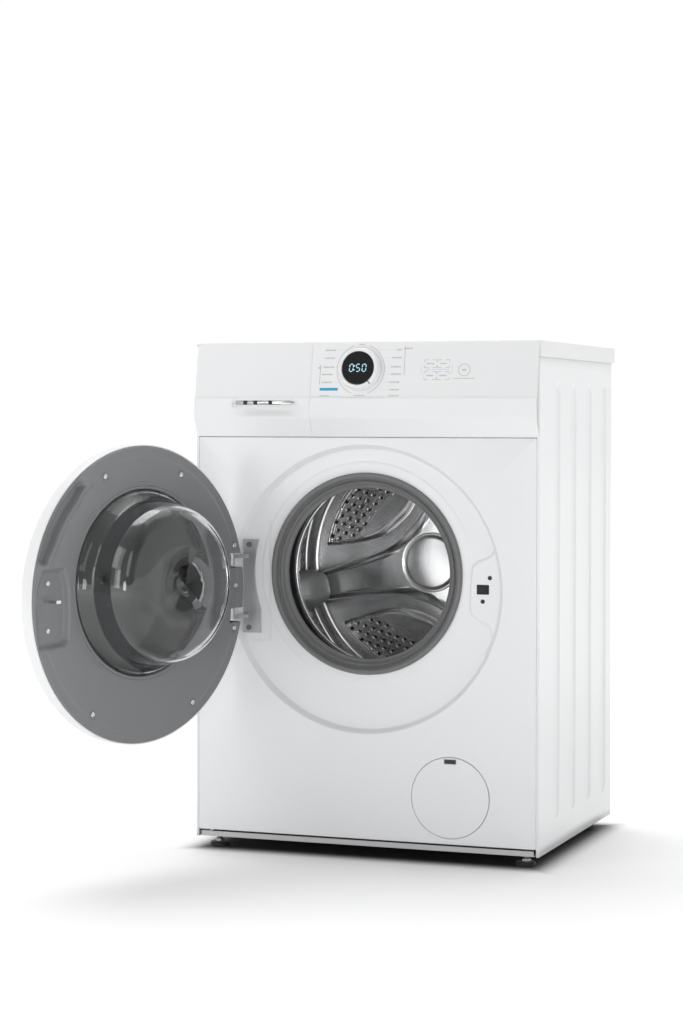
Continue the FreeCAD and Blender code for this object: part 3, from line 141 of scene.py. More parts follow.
class Shape:
    # vertices and faces gathered from several surfaces, then made one mesh

    def __init__(self):
        self.points, self.faces, self.materials, self.count = [], [], [], 0

    def grid(self, points, closeRows=False, closeColumns=False, material=0):
        points = np.asarray(points, float)
        return self.add(points.reshape(-1, 3), gridFaces(*points.shape[:2], closeRows, closeColumns),
                        material)

    def rings(self, points, material=0):
        return self.grid(points, False, True, material)

    def loop(self, points, material=0):
        return self.grid(points, True, True, material)

    def add(self, points, faces, material=0):
        self.points.append(points)
        self.faces.append(np.asarray(faces) + self.count)
        self.materials.append(np.full(len(faces), material, np.int32))
        self.count += len(points)
        return self

    def fan(self, ring, material=0):
        # a flat cap: triangles from the middle of a ring of points
        n = len(ring)
        i = np.arange(n)
        faces = np.stack([i, (i + 1) % n, np.full(n, n), np.full(n, n)], -1)
        return self.add(np.vstack([ring, ring.mean(0, keepdims=True)]), faces, material)

    def made(self, name, materials, body, slot, replaces=(), weld=0.01, sharp=None, wall=0, move=None,
             facing=None):
        points = np.concatenate(self.points)
        if move is not None:
            points = move(points)
        mesh = bpy.data.meshes.new(name)
        quads = np.concatenate(self.faces)
        mesh.vertices.add(len(points))
        mesh.vertices.foreach_set("co", (points * mm).astype(np.float32).ravel())
        triangle = quads[:, 2] == quads[:, 3]
        sizes = np.where(triangle, 3, 4)
        keep = np.ones(quads.shape, bool)
        keep[triangle, 3] = False
        mesh.loops.add(int(sizes.sum()))
        mesh.loops.foreach_set("vertex_index", quads[keep].astype(np.int32))
        mesh.polygons.add(len(quads))
        mesh.polygons.foreach_set("loop_start", np.concatenate([[0], np.cumsum(sizes)[:-1]]).astype(np.int32))
        mesh.polygons.foreach_set("material_index", np.concatenate(self.materials))
        mesh.update(calc_edges=True)
        work = bmesh.new()
        work.from_mesh(mesh)
        bmesh.ops.remove_doubles(work, verts=work.verts, dist=weld * mm)
        bmesh.ops.dissolve_degenerate(work, edges=work.edges, dist=weld * mm * 0.1)
        bmesh.ops.recalc_face_normals(work, faces=work.faces)
        work.to_mesh(mesh)
        work.free()
        if facing is not None:
            normals = np.zeros(len(mesh.polygons) * 3)
            mesh.polygons.foreach_get("normal", normals)
            if (normals.reshape(-1, 3) @ np.array(facing, float)).sum() < 0:
                mesh.flip_normals()
        mesh.polygons.foreach_set("use_smooth", np.ones(len(mesh.polygons), bool))
        if sharp:
            mesh.set_sharp_from_angle(angle=math.radians(sharp))
        for material in materials:
            mesh.materials.append(material)
        piece = bpy.data.objects.new(name, mesh)
        bpy.context.scene.collection.objects.link(piece)
        if wall:
            thickened(piece, wall)
        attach(piece, body)
        if replaces:
            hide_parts(*replaces)
        return piece


def turned(profile, centre, steps):
    # a profile of (y, radius) carried round the Y axis through centre (x, z):
    # x = cx + r cos(a), z = cz + r sin(a)
    profile = np.asarray(profile, float)
    angle = circle(steps)[None, :]
    r, y = profile[:, 1][:, None], profile[:, 0][:, None]
    return np.stack([centre[0] + r * np.cos(angle), y + 0 * angle, centre[1] + r * np.sin(angle)], -1)


def ringed(outline, sections):
    # an outline of (x, z) carried through sections of (inset, y): each ring is the outline moved
    # inwards along its own normals by the inset
    outline = np.asarray(outline, float)
    along = np.roll(outline, -1, 0) - np.roll(outline, 1, 0)
    along /= np.linalg.norm(along, axis=1, keepdims=True)
    inward = np.stack([-along[:, 1], along[:, 0]], -1)
    return np.stack([np.stack([outline[:, 0] + inset * inward[:, 0], np.full(len(outline), y),
                               outline[:, 1] + inset * inward[:, 1]], -1) for inset, y in sections])


def roundedRectangle(low, high, radius, steps=8):
    # counterclockwise in (x, z), corners as quarter arcs
    corners = [(high[0] - radius, high[1] - radius, 0), (low[0] + radius, high[1] - radius, 90),
               (low[0] + radius, low[1] + radius, 180), (high[0] - radius, low[1] + radius, 270)]
    arcs = []
    for x, z, angle in corners:
        a = np.radians(angle + np.linspace(0, 90, steps))
        arcs.append(np.stack([x + radius * np.cos(a), z + radius * np.sin(a)], -1))
    return np.concatenate(arcs)


def signedDistance(outline, x, z):
    # distance from (x, z) to a closed polygon, positive inside it
    p = np.asarray(outline, float)
    q = np.roll(p, -1, 0)
    px, pz = p[:, 0], p[:, 1]
    ex, ez = (q - p)[:, 0], (q - p)[:, 1]
    gx, gz = x[..., None] - px, z[..., None] - pz
    t = np.clip((gx * ex + gz * ez) / (ex ** 2 + ez ** 2), 0, 1)
    distance = np.hypot(gx - t * ex, gz - t * ez).min(-1)
    crosses = ((pz > z[..., None]) != (q[:, 1] > z[..., None]))
    with np.errstate(divide="ignore", invalid="ignore"):
        where = px + (z[..., None] - pz) * ex / np.where(ez == 0, 1, ez)
    inside = (crosses & (x[..., None] < where)).sum(-1) % 2 == 1
    return np.where(inside, distance, -distance)


class Socket:
    # wraps one output socket, so that shader sums are written as Python sums

    def __init__(self, book, link):
        self.book, self.link = book, link

    def maths(self, operation, *others, reverse=False):
        values = (others + (self,)) if reverse else (self,) + others
        return self.book.node("ShaderNodeMath", {"operation": operation}, dict(enumerate(values)))

    def __add__(self, other):
        return self.maths("ADD", other)

    def __sub__(self, other):
        return self.maths("SUBTRACT", other)

    def __mul__(self, other):
        return self.maths("MULTIPLY", other)

    def __truediv__(self, other):
        return self.maths("DIVIDE", other)

    def __rsub__(self, other):
        return self.maths("SUBTRACT", other, reverse=True)

    def __rtruediv__(self, other):
        return self.maths("DIVIDE", other, reverse=True)

    __radd__, __rmul__ = __add__, __mul__


class Finish:
    # one material with its Principled shader

    def __init__(self, name, **values):
        self.material = bpy.data.materials.new(name)
        self.material.use_nodes = True
        self.tree = self.material.node_tree
        self.shader = self.tree.nodes["Principled BSDF"]
        self.set(**values)

    def set(self, **values):
        for key, value in values.items():
            socket = self.shader.inputs[key.replace("_", " ")]
            if isinstance(value, Socket):
                self.tree.links.new(value.link, socket)
            else:
                socket.default_value = value
        return self

    def node(self, kind, settings=None, sockets=None, output=0):
        made = self.tree.nodes.new(kind)
        for key, value in (settings or {}).items():
            setattr(made, key, value)
        for key, value in (sockets or {}).items():
            if isinstance(value, Socket):
                self.tree.links.new(value.link, made.inputs[key])
            else:
                made.inputs[key].default_value = value
        return Socket(self, made.outputs[output])

    def spot(self):
        return self.node("ShaderNodeTexCoord", output=3)

    def axes(self):
        # the three object coordinates of a point, in metres
        parts = self.node("ShaderNodeSeparateXYZ", None, {0: self.spot()}).link.node
        return [Socket(self, output) for output in parts.outputs]

    def noise(self, scale, detail=3, rough=0.5, stretch=(1, 1, 1)):
        place = self.node("ShaderNodeMapping", None, {"Vector": self.spot(), "Scale": stretch})
        return self.node("ShaderNodeTexNoise", None,
                         {"Vector": place, "Scale": scale, "Detail": detail, "Roughness": rough})

    def mix(self, factor, first, second):
        return self.node("ShaderNodeMix", {"data_type": "RGBA"}, {0: factor, 6: first, 7: second}, output=2)

    def smooth(self, value, fromMin, fromMax, toMin, toMax):
        return self.node("ShaderNodeMapRange", {"interpolation_type": "SMOOTHSTEP"},
                         {0: value, 1: fromMin, 2: fromMax, 3: toMin, 4: toMax})

    def wrapped(self, value, half):
        return self.node("ShaderNodeMath", {"operation": "WRAP"}, {0: value, 1: half, 2: -half})

    def bump(self, height, strength, distance):
        return self.set(Normal=self.node("ShaderNodeBump", None, {
            "Height": height, "Strength": strength, "Distance": distance}))


def grey(level, tint=0.0):
    return (level, level * (1 + tint * 0.4), level * (1 + tint), 1)


def enamel(name, level, rough, tint=0.02, peel=0.25):
    # sprayed enamel: faint orange peel in the gloss, and a little dust in the colour
    coat = Finish(name, Roughness=rough, Coat_Weight=0.35, Coat_Roughness=0.12, IOR=1.5)
    fine, broad = coat.noise(620, 2), coat.noise(7, 2)
    coat.set(Base_Color=coat.mix(broad, grey(level * 0.985, tint), grey(level, tint)),
             Roughness=fine * 0.05 + (rough - 0.02))
    coat.bump(fine, peel, 0.00012)
    return coat.material


def moulded(name, colour, rough, grain=900, depth=0.35, spread=0.06):
    # moulded plastic: fine spark-eroded grain and slight tone changes
    coat = Finish(name, IOR=1.5)
    fine, broad = coat.noise(grain, 3, 0.6), coat.noise(14, 3)
    dark = tuple(c * (1 - spread) for c in colour[:3]) + (1,)
    coat.set(Base_Color=coat.mix(broad, dark, colour), Roughness=fine * 0.16 + (rough - 0.08))
    coat.bump(fine, depth, 0.00015)
    return coat.material


def rubber(name, level, rough=0.55):
    coat = Finish(name, IOR=1.5, Sheen_Weight=0.25, Sheen_Roughness=0.4)
    fine, broad = coat.noise(1100, 3, 0.65), coat.noise(22, 4)
    coat.set(Base_Color=coat.mix(broad, grey(level * 0.82, 0.03), grey(level * 1.06, 0.03)),
             Roughness=fine * 0.2 + (rough - 0.1))
    coat.bump(fine, 0.3, 0.0001)
    return coat.material


def metal(name, level, rough, stretch=(1, 1, 1), grain=500, depth=0.12, tint=0.01, spread=0.12):
    # rolled or ground metal: streaks along one axis change its gloss and its shine
    coat = Finish(name, Metallic=1.0)
    streak, broad = coat.noise(grain, 3, 0.6, stretch), coat.noise(9, 3)
    coat.set(Base_Color=coat.mix(broad, grey(level * (1 - spread), tint), grey(level, tint)),
             Roughness=streak * (rough * 0.6) + rough * 0.7)
    coat.bump(streak, depth, 0.00008)
    return coat.material


def clear(name, tint, rough):
    glassy = Finish(name, Transmission_Weight=1.0, IOR=1.5, Base_Color=tint)
    swirl = glassy.noise(9, 2)
    glassy.set(Roughness=swirl * 0.01 + rough)
    glassy.bump(swirl, 0.25, 0.0016)
    return glassy.material


def lit(name, colour, strength):
    glow = Finish(name, Base_Color=(0, 0, 0, 1), Roughness=0.4, Emission_Strength=strength)
    flicker = glow.noise(300, 2)
    glow.set(Emission_Color=glow.mix(flicker, tuple(c * 0.92 for c in colour[:3]) + (1,), colour))
    return glow.material


whiteEnamel = enamel("white_enamel", 0.80, 0.32)
whitePlastic = moulded("white_plastic", grey(0.80, 0.015), 0.36, 1300, 0.12, 0.012)
whiteLaminate = moulded("white_laminate", grey(0.80, 0.01), 0.42, 1500, 0.2, 0.015)
zincPaint = enamel("zinc_paint", 0.52, 0.42, 0.01, 0.4)
doorGrey = moulded("door_grey", grey(0.205, 0.06), 0.36, 1100, 0.22, 0.05)
sealRubber = rubber("seal_rubber", 0.165, 0.5)
blackRubber = rubber("black_rubber", 0.018, 0.6)
blackPlastic = moulded("black_plastic", grey(0.018), 0.42)
tubPlastic = moulded("tub_plastic", grey(0.42, 0.02), 0.5, 700, 0.4)
trayPlastic = moulded("tray_plastic", grey(0.72, 0.02), 0.35)
bluePlastic = moulded("blue_plastic", (0.06, 0.24, 0.55, 1), 0.35)
lifterGrey = moulded("lifter_grey", grey(0.62, 0.03), 0.4, 700, 0.5, 0.08)
boardGreen = moulded("board_green", (0.02, 0.12, 0.05, 1), 0.4)
whiteNylon = moulded("white_nylon", (0.68, 0.68, 0.64, 1), 0.5)
concrete = moulded("concrete", grey(0.33, -0.05), 0.85, 260, 0.9, 0.25)
brightSteel = metal("bright_steel", 0.7, 0.2, (1, 1, 0.1), 600)
zincSteel = metal("zinc_steel", 0.5, 0.3, (1, 1, 1), 420, 0.2, 0.02, 0.2)
darkSteel = metal("dark_steel", 0.22, 0.38, (1, 1, 1), 420, 0.2)
hingeGrey = metal("hinge_grey", 0.55, 0.36, (1, 1, 1), 800, 0.25, 0.03, 0.1)
silverTrim = metal("silver_trim", 0.66, 0.22, (1, 0.05, 0.05), 500, 0.1)
castAluminium = metal("cast_aluminium", 0.55, 0.45, (1, 1, 1), 300, 0.5)
motorPaint = enamel("motor_paint", 0.16, 0.4)
clearGlass = clear("clear_glass", (0.93, 0.945, 0.95, 1), 0.006)
smokedGlass = moulded("smoked_glass", grey(0.012), 0.16, 60, 0.02, 0.3)
displayBlack = moulded("display_black", grey(0.004), 0.14, 90, 0.01, 0.2)
# near-black for the lock: its black plastic together with painted shade of the hole behind the slot
lockBlackAndShade = moulded("lock_black_and_painted_shade", grey(0.004), 0.5)
inkGrey = moulded("ink_grey", grey(0.47, 0.03), 0.45)
inkDark = moulded("ink_dark", grey(0.10, 0.03), 0.4)
inkPale = moulded("ink_pale", grey(0.60, 0.03), 0.45)
inkBlue = moulded("ink_blue", (0.02, 0.36, 0.62, 1), 0.45)
inkSky = moulded("ink_sky", (0.36, 0.56, 0.74, 1), 0.45)
digitGlow = lit("digit_glow", (0.50, 0.82, 1.0, 1), 1.15)
print("materials ready")

forwards = (0, -1, 0)  # the way the front faces
sidePanel = {"ribDepth": 3.0, "ribHalfWidth": 18.5, "ribFirst": 107.0, "ribPitch": 102.5, "ribBottom": 83.5,
             "ribTop": 765.5, "ribs": 4, "shoulder": 7.0, "corner": 4.0, "stub": 4.7, "returnDepth": 15.0,
             "sheet": 1.0}


def makeSidePanel(name, node, sign, low, high):
    # the plan path runs rear return, side, rounded front corner, stub, front return; ribs push the
    # side inwards by depth * ramp(halfWidth - distance to the rib's middle line)
    s = sidePanel
    y0, y1, x1 = front, back, halfWidth
    corners = np.array([(x1 - s["returnDepth"], y1), (x1, y1), (x1, y0), (x1 - s["stub"], y0),
                        (x1 - s["stub"], y0 + s["returnDepth"])])
    path = softened(corners, [0, 1.5, s["corner"], 1.2, 0], closed=False, steps=7)
    split = int(np.argmax(np.linalg.norm(np.diff(path, axis=0), axis=1)))
    share = np.linspace(0, 1, 210)[1:-1, None]
    run = path[split] * (1 - share) + path[split + 1] * share
    path = np.concatenate([path[:split + 1], run, path[split + 1:]])
    ends = np.linspace(-26, 26, 27)
    z = np.unique(np.concatenate([[low[2], high[2]], s["ribBottom"] + ends, s["ribTop"] + ends,
                                  np.linspace(low[2], high[2], 46)]))
    z = z[(z >= low[2]) & (z <= high[2])]
    x, y = path[:, 0][:, None] + 0 * z, path[:, 1][:, None] + 0 * z
    zz = z + 0 * path[:, 0][:, None]
    depth = np.zeros_like(x)
    for i in range(s["ribs"]):
        middle = front + s["ribFirst"] + i * s["ribPitch"]
        away = np.hypot(y - middle, zz - np.clip(zz, s["ribBottom"], s["ribTop"]))
        depth = np.maximum(depth, s["ribDepth"] * ramp(s["ribHalfWidth"] - away, 0, s["shoulder"]))
    x = x - depth * (np.abs(x - x1) < 0.01)
    shape = Shape().grid(np.stack([sign * x, y, zz], -1))
    shape.made(name, [whiteEnamel], "cabinet", "white_steel", (node,), facing=(sign, 0, 0),
               wall=s["sheet"])


makeSidePanel("left_side", "side_panel_left", -1, leftLow, leftHigh)
makeSidePanel("right_side", "side_panel_right", 1, rightLow, rightHigh)

floorY = front + 12.0
frontPanel = {"recessRadius": 238.5, "recessDepth": 12.0, "portRadius": 160.0, "wallWidth": 8.5,
              "ringLine": 185.0, "islandHeight": 3.4, "islandSoft": 3.2, "seatDepth": 1.0,
              "flapX": 149.7, "flapZ": 107.5, "flapSeat": 66.6, "flapDepth": 4.0, "filterHole": 48.0,
              "fold": 12.0, "rounding": 1.3, "overhang": 0.35, "steps": 480, "seatSteps": 192}
islandOutline = [(184, 484), (179.5, 420), (182, 408), (190, 399), (203, 393), (213, 386), (217.5, 374),
                 (216, 362), (206, 343), (246, 330), (252, 520), (224, 516), (217, 503), (205, 496),
                 (193, 492)]


def dishDepth(x, z):
    # how far the front panel lies behind its face: the recess wall, the sloping inner zone, the raised
    # latch island and the shallow seat behind the hinge
    p = frontPanel
    out = np.hypot(x, z - recessZ)
    inner = np.hypot(x, z - axisZ)
    wall = ramp(p["recessRadius"] - out, 0, p["wallWidth"])
    depth = p["recessDepth"] * wall
    groove = np.exp(-((inner - p["ringLine"]) / 1.5) ** 2)
    depth = depth - 0.9 * ramp(p["ringLine"] - inner, -2.2, 2.2) * ramp(inner, 158, 184) + 0.45 * groove
    island = ramp(signedDistance(islandOutline, x, z), -p["islandSoft"] / 2, p["islandSoft"] / 2)
    depth = depth - p["islandHeight"] * island * wall
    seat = ramp(99 - np.abs(z - recessZ - 9.5), -1.6, 1.6) * ramp(-x, 168, 171.5) * wall
    return depth + p["seatDepth"] * seat


def makeFrontPanel():
    p = frontPanel
    shape = Shape()
    angle = circle(p["steps"])
    rimR = p["recessRadius"] + 3.5
    hole = np.stack([p["portRadius"] * np.cos(angle), axisZ + p["portRadius"] * np.sin(angle)], -1)
    rim = np.stack([rimR * np.cos(angle), recessZ + rimR * np.sin(angle)], -1)
    s = np.unique(np.concatenate([np.linspace(0, 1, 58), np.linspace(0.82, 1, 24)]))[:, None, None]
    flat = (1 - s) * hole + s * rim
    depth = dishDepth(flat[..., 0], flat[..., 1])
    shape.rings(np.stack([flat[..., 0], front + depth, flat[..., 1]], -1))
    shape.rings(turned([(front + 10.2, p["portRadius"]), (front + 15, p["portRadius"] + 0.6)], (0, axisZ),
                       p["steps"]))
    seatR, deep, holeR = p["flapSeat"], front + p["flapDepth"], p["filterHole"]
    seat = [(front, seatR + 3.4), (front, seatR + 1.4), (front + 0.3, seatR + 0.5), (front + 1.2, seatR),
            (deep - 0.6, seatR - 0.4), (deep, seatR - 1.2), (deep, holeR + 6), (deep, holeR + 1),
            (deep + 3, holeR)]
    flapCentre = (p["flapX"], p["flapZ"])
    shape.rings(turned(seat, flapCentre, p["seatSteps"]))
    more = p["overhang"]
    outline = roundedRectangle((panelLow[0] - more, panelLow[2]), (panelHigh[0] + more, panelHigh[2] + 0.4),
                               2.5, 6)
    r = p["rounding"]
    fold = ringed(outline, [(r, front), (r * 0.45, front + r * 0.14), (r * 0.14, front + r * 0.45),
                            (0, front + r), (0, front + p["fold"])])
    shape.rings(fold)
    # the flat face between the outer fold, the dish and the flap seat
    work = bmesh.new()
    loops = [fold[0], np.stack([rim[:, 0], np.full(len(rim), front), rim[:, 1]], -1),
             turned(seat[:1], flapCentre, p["seatSteps"])[0]]
    edges = []
    for loop in loops:
        corners = [work.verts.new(point) for point in loop]
        edges += [work.edges.new((corners[i - 1], corners[i])) for i in range(len(corners))]
    bmesh.ops.triangle_fill(work, edges=edges, use_beauty=True, normal=Vector(forwards))
    work.verts.index_update()
    points = np.array([v.co for v in work.verts])
    faces = np.array([[f.verts[0].index, f.verts[1].index, f.verts[2].index, f.verts[2].index]
                      for f in work.faces])
    work.free()
    shape.add(points, faces)
    shape.made("front_face", [whiteEnamel], "cabinet", "white_steel", ("front_panel",), weld=0.05,
               sharp=35, facing=forwards)


makeFrontPanel()

latch = {"slotX": 202.0, "slotZ": 447.0, "width": 20.0, "height": 15.0, "screwRadius": 3.7,
         "screws": [(213.7, 466.1), (201.7, 427.8)], "tongueInset": (5, 3.5)}


def makeLatchTrim():
    # the dark mouth of the lock: a thin black frame round the slot, closed just before the island face by a
    # near-black patch that is painted shade standing for the hole into the lock, and the two sunk dark screws
    # beside it
    l = latch
    y = floorY - frontPanel["islandHeight"]
    middle, half = np.array([l["slotX"], l["slotZ"]]), np.array([l["width"], l["height"]]) / 2
    low, high, inset = middle - half, middle + half, np.array(l["tongueInset"])
    mouth = ringed(roundedRectangle(low, high, 0.8, 4),
                   [(-0.5, y - 0.05), (-0.2, y - 0.3), (0.5, y - 0.3), (0.9, y - 0.15)])
    # the near-black patch that closes the frame, just proud of the island, is painted shade for the hole into
    # the lock
    shape = Shape().rings(mouth).fan(mouth[-1], 1)
    shape.rings(ringed(roundedRectangle(low + inset, high - inset, 0.8, 4),
                       [(0, y - 0.2), (0.3, y - 0.45), (1.2, y - 0.45), (1.5, y - 0.2)]), 1)
    r = l["screwRadius"]
    head = [(y + 0.1, r), (y - 0.35, r - 0.2), (y - 0.5, r - 1.0), (y - 0.45, 1.4), (y - 0.1, 1.0),
            (y - 0.1, 0.01)]
    for centre in l["screws"]:
        shape.rings(turned(head, centre, 28), 2)
    shape.made("latch_mouth", [blackPlastic, lockBlackAndShade, blackPlastic], "cabinet", "black_plastic",
               facing=forwards)


makeLatchTrim()
print("front panel made")

worktop = {"rounding": 3.0, "bottomRounding": 1.0, "corner": 3.0}


def makeWorktop():
    # a rounded outline in plan carried up through (inset, z) rings, closed above and below
    w = worktop
    plan = roundedRectangle((topLow[0], topLow[1]), (topHigh[0], topHigh[1]), w["corner"], 8)
    t = np.radians(np.linspace(0, 90, 7))
    r, b = w["rounding"], w["bottomRounding"]
    rings = [(b - b * np.sin(a), topLow[2] + b - b * np.cos(a)) for a in t]
    rings += [(r - r * np.cos(a), topHigh[2] - r + r * np.sin(a)) for a in t]
    rings += [(r + 4, topHigh[2])]
    loops = ringed(plan, rings)[..., [0, 2, 1]]
    shape = Shape().rings(loops).fan(loops[0]).fan(loops[-1])
    shape.made("worktop_slab", [whiteLaminate], "cabinet", "white_laminate", ("worktop",))


makeWorktop()

control = {"seam": 693.0, "lipLow": 724.0, "lipHigh": 757.0, "faceFoot": 759.0, "faceTop": 848.0, "lean": 9.4,
           "lipProud": 15.0, "faceProud": 12.0, "wall": 2.4, "knobX": -4.0, "knobZ": 804.0,
           "end": 1.5, "split": -90.0, "splitGap": 0.2, "capInset": 2.6}
leanTan = math.tan(math.radians(control["lean"]))


def faceY(z):
    # how far forward the leaning face is at height z
    return front - control["faceProud"] + leanTan * (np.asarray(z, float) - control["faceFoot"])


def panelPath():
    c = control
    corners = [(front + 6, c["seam"]), (front - 0.3, c["seam"]), (front - c["lipProud"], c["lipLow"]),
               (front - c["lipProud"], c["lipHigh"]), (faceY(c["faceFoot"]), c["faceFoot"]),
               (faceY(c["faceTop"]), c["faceTop"]), (faceY(c["faceTop"]) + 3.2, c["faceTop"])]
    return softened(corners, [0, 2.4, 3.0, 2.4, 1.6, 2.4, 0], closed=False, steps=6)


def inwards(path):
    along = headings(path)
    return np.stack([along[:, 1], -along[:, 0]], -1)


def panelSheet(left, right, extraX=(), dent=None, softLeft=1.6, softRight=1.6):
    # the section in (y, z) carried along x; towards each end every point moves in along its own normal,
    # which rounds the corner and makes the end wall
    path = panelPath()
    if dent is not None:
        path = np.concatenate([resampled(path[i:i + 2],
                                         3.5)[:-1] for i in range(len(path) - 1)] + [path[-1:]])
    inward = inwards(path)
    t = np.radians(np.linspace(90, 0, 6))
    edges = [[(2.0, 0.0)] + [(r - r * np.sin(a), r - r * np.cos(a)) for a in t[::-1]]
             for r in (softLeft, softRight)]
    xs = [(left + dx, inset) for inset, dx in edges[0]] + [(x, 0) for x in extraX]
    xs += [(right - dx, inset) for inset, dx in reversed(edges[1])]
    x = np.array([p[0] for p in xs])[:, None] + 0 * path[:, 0]
    inset = np.array([p[1] for p in xs])[:, None, None]
    yz = path[None] + inset * inward[None]
    points = np.stack([x, yz[..., 0], yz[..., 1]], -1)
    return dent(points) if dent is not None else points


def panelCaps(shape, left, right):
    # a flat wall just inside each end, so that the moulding isn't open there
    path = panelPath()
    path = path + control["wall"] / 2 * inwards(path)
    for x in (left + control["capInset"], right - control["capInset"]):
        shape.fan(np.stack([x + 0 * path[:, 0], path[:, 0], path[:, 1]], -1))
    return shape


panelEnd, split = halfWidth - control["end"], control["split"]
shape = panelCaps(Shape().grid(panelSheet(split, panelEnd, softLeft=0.25)), split, panelEnd)
shape.made("fascia_moulding", [whitePlastic], "cabinet", "white_plastic", ("control_fascia",),
           wall=control["wall"], facing=forwards)

grip = {"left": -229.0, "right": -108.0, "stripLow": 745.5, "stripHigh": 753.5, "scoopDepth": 7.5,
        "scoopLow": 727.0, "marks": (-205, -187, -160)}


def gripDent(points):
    # the finger scoop: the lip sinks backwards below the strip, most at the top, fading to both ends
    g = grip
    x, z = points[..., 0], points[..., 2]
    across = ramp(x, g["left"] - 4, g["left"] + 46) * ramp(-x, -g["right"] - 20, -g["right"] + 36)
    up = ramp(z, g["scoopLow"] - 2, g["stripLow"] - 6) * ramp(-z, -g["stripLow"] - 2.4, -g["stripLow"] + 0.6)
    slot = (ramp(x, g["left"] - 1, g["left"] + 2) * ramp(-x, -g["right"] - 1, -g["right"] + 9)
            * ramp(z, g["stripLow"] - 1.2, g["stripLow"]) * ramp(-z, -g["stripHigh"] - 1.2, -g["stripHigh"]))
    points[..., 1] += g["scoopDepth"] * across * up + 4.5 * slot
    return points


stretchX = np.unique(np.concatenate([np.linspace(-285, -96, 44), grip["left"] + np.linspace(-3, 4, 8),
                                     grip["right"] + np.linspace(-11, 3, 12)]))
split = control["split"] - control["splitGap"]
shape = panelCaps(Shape().grid(panelSheet(-panelEnd, split, stretchX, gripDent, softRight=0.25)), -panelEnd,
                  split)
shape.made("drawer_face", [whitePlastic], "drawer", "white_plastic", ("drawer_front",), wall=control["wall"],
           facing=forwards)


def tongue(x0, x1, z0, z1, y0, y1, point=0.0, soft=0.6):
    # a small bar with softened edges, optionally pointed at its right end
    zm = (z0 + z1) / 2
    outline = [(x1 - point, z1), (x0, z1), (x0, z0), (x1 - point, z0)] + ([(x1, zm)] if point else [])
    outline = softened(outline, 1.0, steps=4)[:, :2]
    return ringed(outline, [(0, y1), (0, y0 + soft), (soft * 0.3, y0 + soft * 0.3), (soft, y0)])


def addBar(shape, rings, material=0):
    return shape.rings(rings, material).fan(rings[-1], material).fan(rings[0], material)


lipY = front - control["lipProud"]
bar = addBar(Shape(), tongue(grip["left"] + 6, grip["right"] - 9, 746.2, 753.2, lipY + 1.4, lipY + 3.6, 10))
for x in grip["marks"]:
    addBar(bar, tongue(x - 3.6, x + 3.6, 746.4, 753.0, lipY + 0.8, lipY + 3.4, soft=0.8), 1)
bar.made("grip_strip", [silverTrim, blackPlastic], "drawer", "silver_trim", ("handle_strip",))

knobBase = np.array([control["knobX"], float(faceY(control["knobZ"])), control["knobZ"]])


def onFace(points):
    # turns points given about the knob's own axis square to the leaning face
    a = math.radians(control["lean"])
    p = np.asarray(points, float)
    y, z = p[..., 1], p[..., 2]
    return np.stack([p[..., 0], y * math.cos(a) + z * math.sin(a), z * math.cos(a) - y * math.sin(a)],
                    -1) + knobBase


knobRing = softened([(-0.4, 27.2), (-0.4, 36.0), (-3.0, 35.9), (-13.2, 33.6), (-15, 30.8), (-14.6, 28.2),
                     (-11.0, 27.9)], [0, 0.4, 1.0, 2.4, 1.2, 0.3, 0.3], steps=5)
Shape().loop(turned(knobRing, (0, 0), 144)).made("knob_ring", [whitePlastic], "knob", "white_plastic",
                                                 ("programme_knob",), move=onFace)


def flatQuads(quads):
    points = np.array(quads, float).reshape(-1, 3)
    return points, np.arange(len(points)).reshape(-1, 4)


pointer = {"angle": -50, "from": 27.8, "to": 34.6, "width": 1.5, "proud": 15.12}
a = math.radians(pointer["angle"])
out, across = np.array([math.cos(a), math.sin(a)]), np.array([-math.sin(a),
                                                              math.cos(a)]) * pointer["width"] / 2
corners = [out * pointer[end] + side * across for end,
           side in (("from", -1), ("to", -1), ("to", 1), ("from", 1))]
quad = [[c[0], -pointer["proud"], c[1]] for c in corners]
Shape().add(*flatQuads(quad)).made("knob_pointer", [inkDark], "knob", "dark_display", move=onFace,
                                   facing=forwards)

displayDisc = softened([(-11.3, 4), (-11.3, 27.5), (-14.4, 27.5), (-14.8, 26.8), (-14.8, 0.01)],
                       [0, 0, 0.4, 0.4, 0], closed=False, steps=4)
Shape().rings(turned(displayDisc, (0, 0), 128)).made("display_disc", [displayBlack], "cabinet",
                                                     "dark_display",
                                                     ("display_window",), move=onFace)

digitShape = {"height": 12.0, "width": 6.2, "stroke": 1.5, "pitch": 8.6, "slant": 0.08, "proud": 15.0}
segmentsOf = {"0": "abcdef", "5": "acdfg"}


def digitQuads(symbol, x):
    # seven segments: a top, b upper right, c lower right, d bottom, e lower left, f upper left, g middle
    d = digitShape
    h, w, s = d["height"], d["width"], d["stroke"]
    level = {"a": h / 2, "g": 0, "d": -h / 2}
    quads = []
    for name in segmentsOf[symbol]:
        if name in level:
            z = level[name]
            box = (x - w / 2 + s * 0.75, z - s / 2, x + w / 2 - s * 0.75, z + s / 2)
        else:
            side = 1 if name in "bc" else -1
            low = 0 if name in "bf" else -h / 2
            box = (x + side * w / 2 - s / 2, low + s * 0.55, x + side * w / 2 + s / 2, low + h / 2 - s * 0.55)
        quads.append([(box[0], box[1]), (box[2], box[1]), (box[2], box[3]), (box[0], box[3])])
    return quads


pitch = digitShape["pitch"]
quads = digitQuads("0", -pitch * 1.25) + digitQuads("5", 0.6) + digitQuads("0", pitch * 1.3)
quads += [[(-6.9, z - 0.9), (-5.1, z - 0.9), (-5.1, z + 0.9), (-6.9, z + 0.9)] for z in (-3.2, 3.2)]
flat = np.array(quads).reshape(-1, 2)
points = np.stack([flat[:, 0] + digitShape["slant"] * flat[:, 1], 0 * flat[:, 0] - digitShape["proud"],
                   flat[:, 1]], -1)
Shape().add(*flatQuads(points)).made("display_digits", [digitGlow], "cabinet", "dark_display", move=onFace,
                                     facing=forwards)
print("control panel made")


inkLift = 0.08  # the printing lies this far before the face


